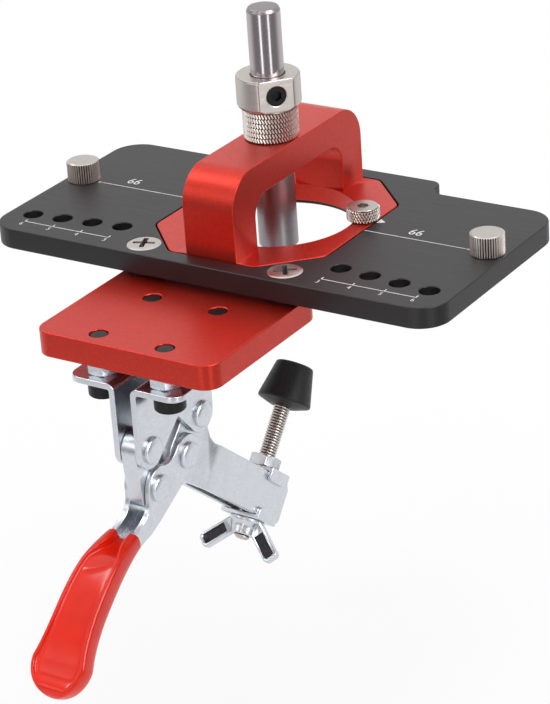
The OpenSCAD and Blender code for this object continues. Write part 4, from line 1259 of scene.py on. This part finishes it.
class JIG_OT_stage(bpy.types.Operator):
    """Sets the pale floor, the soft lights, the white surroundings and the camera"""

    bl_idname = "jig.stage"
    bl_label = "Stage"

    def execute(self, context):
        scene = context.scene
        scene.view_settings.view_transform = "Standard"
        shape = bmesh.new()
        bmesh.ops.create_circle(shape, cap_ends=True, segments=128, radius=FLOOR_RADIUS)
        floor = bpy.data.objects.new("floor", from_bmesh(shape, "floor"))
        floor.data.transform(Matrix.Translation(FLOOR_CENTRE))
        scene.collection.objects.link(floor)
        floor.data.materials.append(self.paper())
        self.surroundings(scene)
        for lamp in LAMPS:
            self.lamp(scene, *lamp)
        camera = bpy.data.objects.new("photo_camera", bpy.data.cameras.new("photo_camera"))
        camera.data.sensor_fit = "VERTICAL"
        camera.data.sensor_height = CAMERA_FILM
        camera.data.lens = CAMERA_LENS
        camera.data.clip_start = 0.05
        turn = Matrix((CAMERA_RIGHT, CAMERA_UP, [-c for c in CAMERA_AHEAD])).transposed().to_quaternion()
        camera.matrix_world = Matrix.Translation(CAMERA_PLACE) @ turn.to_matrix().to_4x4()
        scene.collection.objects.link(camera)
        scene.camera = camera
        return {"FINISHED"}

    def paper(self):
        """White paper floor: white to the camera and in reflections, soft shadow left in, clear from below."""
        material = bpy.data.materials.new("white_paper")
        material.use_nodes = True
        tree = material.node_tree
        tree.nodes.clear()
        rays = add(tree, "ShaderNodeLightPath").outputs
        seen = add(
            tree, "ShaderNodeMath", {"operation": "MAXIMUM"},
            {0: rays["Is Camera Ray"], 1: rays["Is Glossy Ray"]},
        )
        place = add(tree, "ShaderNodeTexCoord").outputs["Object"]
        far = add(tree, "ShaderNodeVectorMath", {"operation": "DISTANCE"}, {0: place, 1: FLOOR_CENTRE[:]})
        white = add(
            tree, "ShaderNodeMapRange", {"interpolation_type": "SMOOTHSTEP"},
            {
                "Value": far.outputs["Value"], "From Min": 0.1, "From Max": 0.98 * FLOOR_RADIUS,
                "To Min": 0.9, "To Max": 1.0,
            },
        )
        share = add(
            tree, "ShaderNodeMath", {"operation": "MULTIPLY"}, {0: seen.outputs[0], 1: white.outputs[0]}
        )
        matt = add(tree, "ShaderNodeBsdfDiffuse", inputs={"Color": [*linear("#F4F4F4"), 1]})
        glow = add(tree, "ShaderNodeEmission", inputs={"Color": [1, 1, 1, 1], "Strength": 1.0})
        mixed = add(
            tree, "ShaderNodeMixShader", inputs={0: share.outputs[0], 1: matt.outputs[0], 2: glow.outputs[0]}
        )
        below = add(tree, "ShaderNodeNewGeometry").outputs["Backfacing"]
        clear = add(tree, "ShaderNodeBsdfTransparent")
        sheet = add(tree, "ShaderNodeMixShader", inputs={0: below, 1: mixed.outputs[0], 2: clear.outputs[0]})
        add(tree, "ShaderNodeOutputMaterial", inputs={"Surface": sheet.outputs[0]})
        return material

    def surroundings(self, scene):
        """White background, with a room for reflections that is dimmer towards the camera's side."""
        world = bpy.data.worlds.new("studio")
        scene.world = world
        world.use_nodes = True
        tree = world.node_tree
        tree.nodes.clear()
        rays = add(tree, "ShaderNodeLightPath").outputs
        way = add(tree, "ShaderNodeTexCoord").outputs["Generated"]
        flat = add(tree, "ShaderNodeVectorMath", {"operation": "MULTIPLY"}, {0: way, 1: (1.0, 1.0, 0.0)})
        bearing = add(tree, "ShaderNodeVectorMath", {"operation": "NORMALIZE"}, {0: flat.outputs[0]}).outputs[0]

        def towards(source, direction, edge, full, dark, bright):
            """Level that goes from dark to bright as a direction turns towards another."""
            turned = add(tree, "ShaderNodeVectorMath", {"operation": "DOT_PRODUCT"}, {0: source, 1: direction})
            return add(
                tree, "ShaderNodeMapRange", {"interpolation_type": "SMOOTHSTEP"},
                {
                    "Value": turned.outputs["Value"], "From Min": edge, "From Max": full,
                    "To Min": dark, "To Max": bright,
                },
            ).outputs[0]

        # White wall behind the jig that is greyer low down, two upright strips and three soft boxes, a ceiling
        front = towards(way, (0.0, 0.0, 1.0), -0.35, 0.4, 0.32, 0.5)
        wall = towards(bearing, (-0.556, 0.831, 0.0), -0.35, 0.45, 0.0, 1.0)
        back = towards(bearing, (-0.56, 0.83, 0.0), 0.84, 0.97, 0.0, 1.0)
        low = towards(way, (0.0, 0.0, -1.0), 0.0, 0.35, 0.0, 0.45)
        left = towards(bearing, (0.08, -0.997, 0.0), 0.992, 0.998, 0.0, 2.4)
        right = towards(bearing, (0.887, -0.461, 0.0), 0.992, 0.998, 0.0, 2.4)
        side_box = towards(way, (0.821, -0.1, 0.562), 0.93, 0.97, 0.0, 7.0)
        front_box = towards(way, (-0.503, -0.755, 0.421), 0.965, 0.99, 0.0, 1.6)
        small_box = towards(way, (-0.66, -0.1, 0.745), 0.985, 0.994, 0.0, 8.0)
        ceiling = towards(way, (0.0, 0.0, 1.0), 0.5, 0.85, 0.0, 0.4)
        room = add(tree, "ShaderNodeMix", {"data_type": "FLOAT"}, {0: wall, 2: front, 3: 0.95}).outputs[0]
        shade = add(tree, "ShaderNodeMath", {"operation": "MULTIPLY"}, {0: back, 1: low}).outputs[0]
        total = add(tree, "ShaderNodeMath", {"operation": "SUBTRACT"}, {0: room, 1: shade}).outputs[0]
        for part in (left, right, side_box, front_box, small_box, ceiling):
            total = add(tree, "ShaderNodeMath", {"operation": "ADD"}, {0: total, 1: part}).outputs[0]
        mirror = add(
            tree, "ShaderNodeMath", {"operation": "MAXIMUM"},
            {0: rays["Is Glossy Ray"], 1: rays["Is Transmission Ray"]},
        )
        level = add(tree, "ShaderNodeMix", {"data_type": "FLOAT"}, {0: mirror.outputs[0], 2: 0.32, 3: total})
        bright = add(
            tree, "ShaderNodeMix", {"data_type": "FLOAT"},
            {0: rays["Is Camera Ray"], 2: level.outputs[0], 3: 1.0},
        )
        glow = add(tree, "ShaderNodeBackground", inputs={"Color": [1, 1, 1, 1], "Strength": bright.outputs[0]})
        add(tree, "ShaderNodeOutputWorld", inputs={"Surface": glow.outputs[0]})

    def lamp(self, scene, name, spot, size, power):
        """Soft square lamp that looks at the jig."""
        data = bpy.data.lights.new(name, "AREA")
        data.size = size
        data.energy = power
        lamp = bpy.data.objects.new(name, data)
        lamp.visible_glossy = False
        lamp.location = spot
        lamp.rotation_euler = (LAMP_AIM - Vector(spot)).to_track_quat("-Z", "Y").to_euler()
        scene.collection.objects.link(lamp)


class JIG_PT_panel(bpy.types.Panel):
    """Lists the jig's pieces and sizes in the sidebar"""

    bl_idname = "JIG_PT_panel"
    bl_label = "Drilling jig"
    bl_space_type = "VIEW_3D"
    bl_region_type = "UI"
    bl_category = "Jig"

    def draw(self, context):
        for group in (context.scene.jig_sizes, context.scene.jig_colours):
            box = self.layout.box()
            for name in group.__annotations__:
                box.prop(group, name)
        for operator in OPERATORS:
            self.layout.operator(operator.bl_idname)


OPERATORS = (
    JIG_OT_plates, JIG_OT_bridge, JIG_OT_bridge_screws, JIG_OT_drill_guide, JIG_OT_stop_collar,
    JIG_OT_thumb_screws, JIG_OT_plate_screws, JIG_OT_clamp_frame, JIG_OT_linkage, JIG_OT_rivets,
    JIG_OT_grip, JIG_OT_spindle, JIG_OT_print, JIG_OT_stage,
)
CLASSES = (JigSizes, JigColours, *OPERATORS, JIG_PT_panel)


def register():
    for cls in CLASSES:
        bpy.utils.register_class(cls)
    bpy.types.Scene.jig_sizes = PointerProperty(type=JigSizes)
    bpy.types.Scene.jig_colours = PointerProperty(type=JigColours)


def unregister():
    del bpy.types.Scene.jig_colours
    del bpy.types.Scene.jig_sizes
    for cls in reversed(CLASSES):
        bpy.utils.unregister_class(cls)


def main():
    register()
    bpy.ops.jig.plates()
    bpy.ops.jig.bridge()
    bpy.ops.jig.bridge_screws()
    bpy.ops.jig.drill_guide()
    bpy.ops.jig.stop_collar()
    bpy.ops.jig.thumb_screws()
    bpy.ops.jig.plate_screws()
    bpy.ops.jig.clamp_frame()
    bpy.ops.jig.linkage()
    bpy.ops.jig.rivets()
    bpy.ops.jig.grip()
    bpy.ops.jig.spindle()
    bpy.ops.jig.print()
    bpy.ops.jig.stage()


if __name__ == "__main__":
    main()
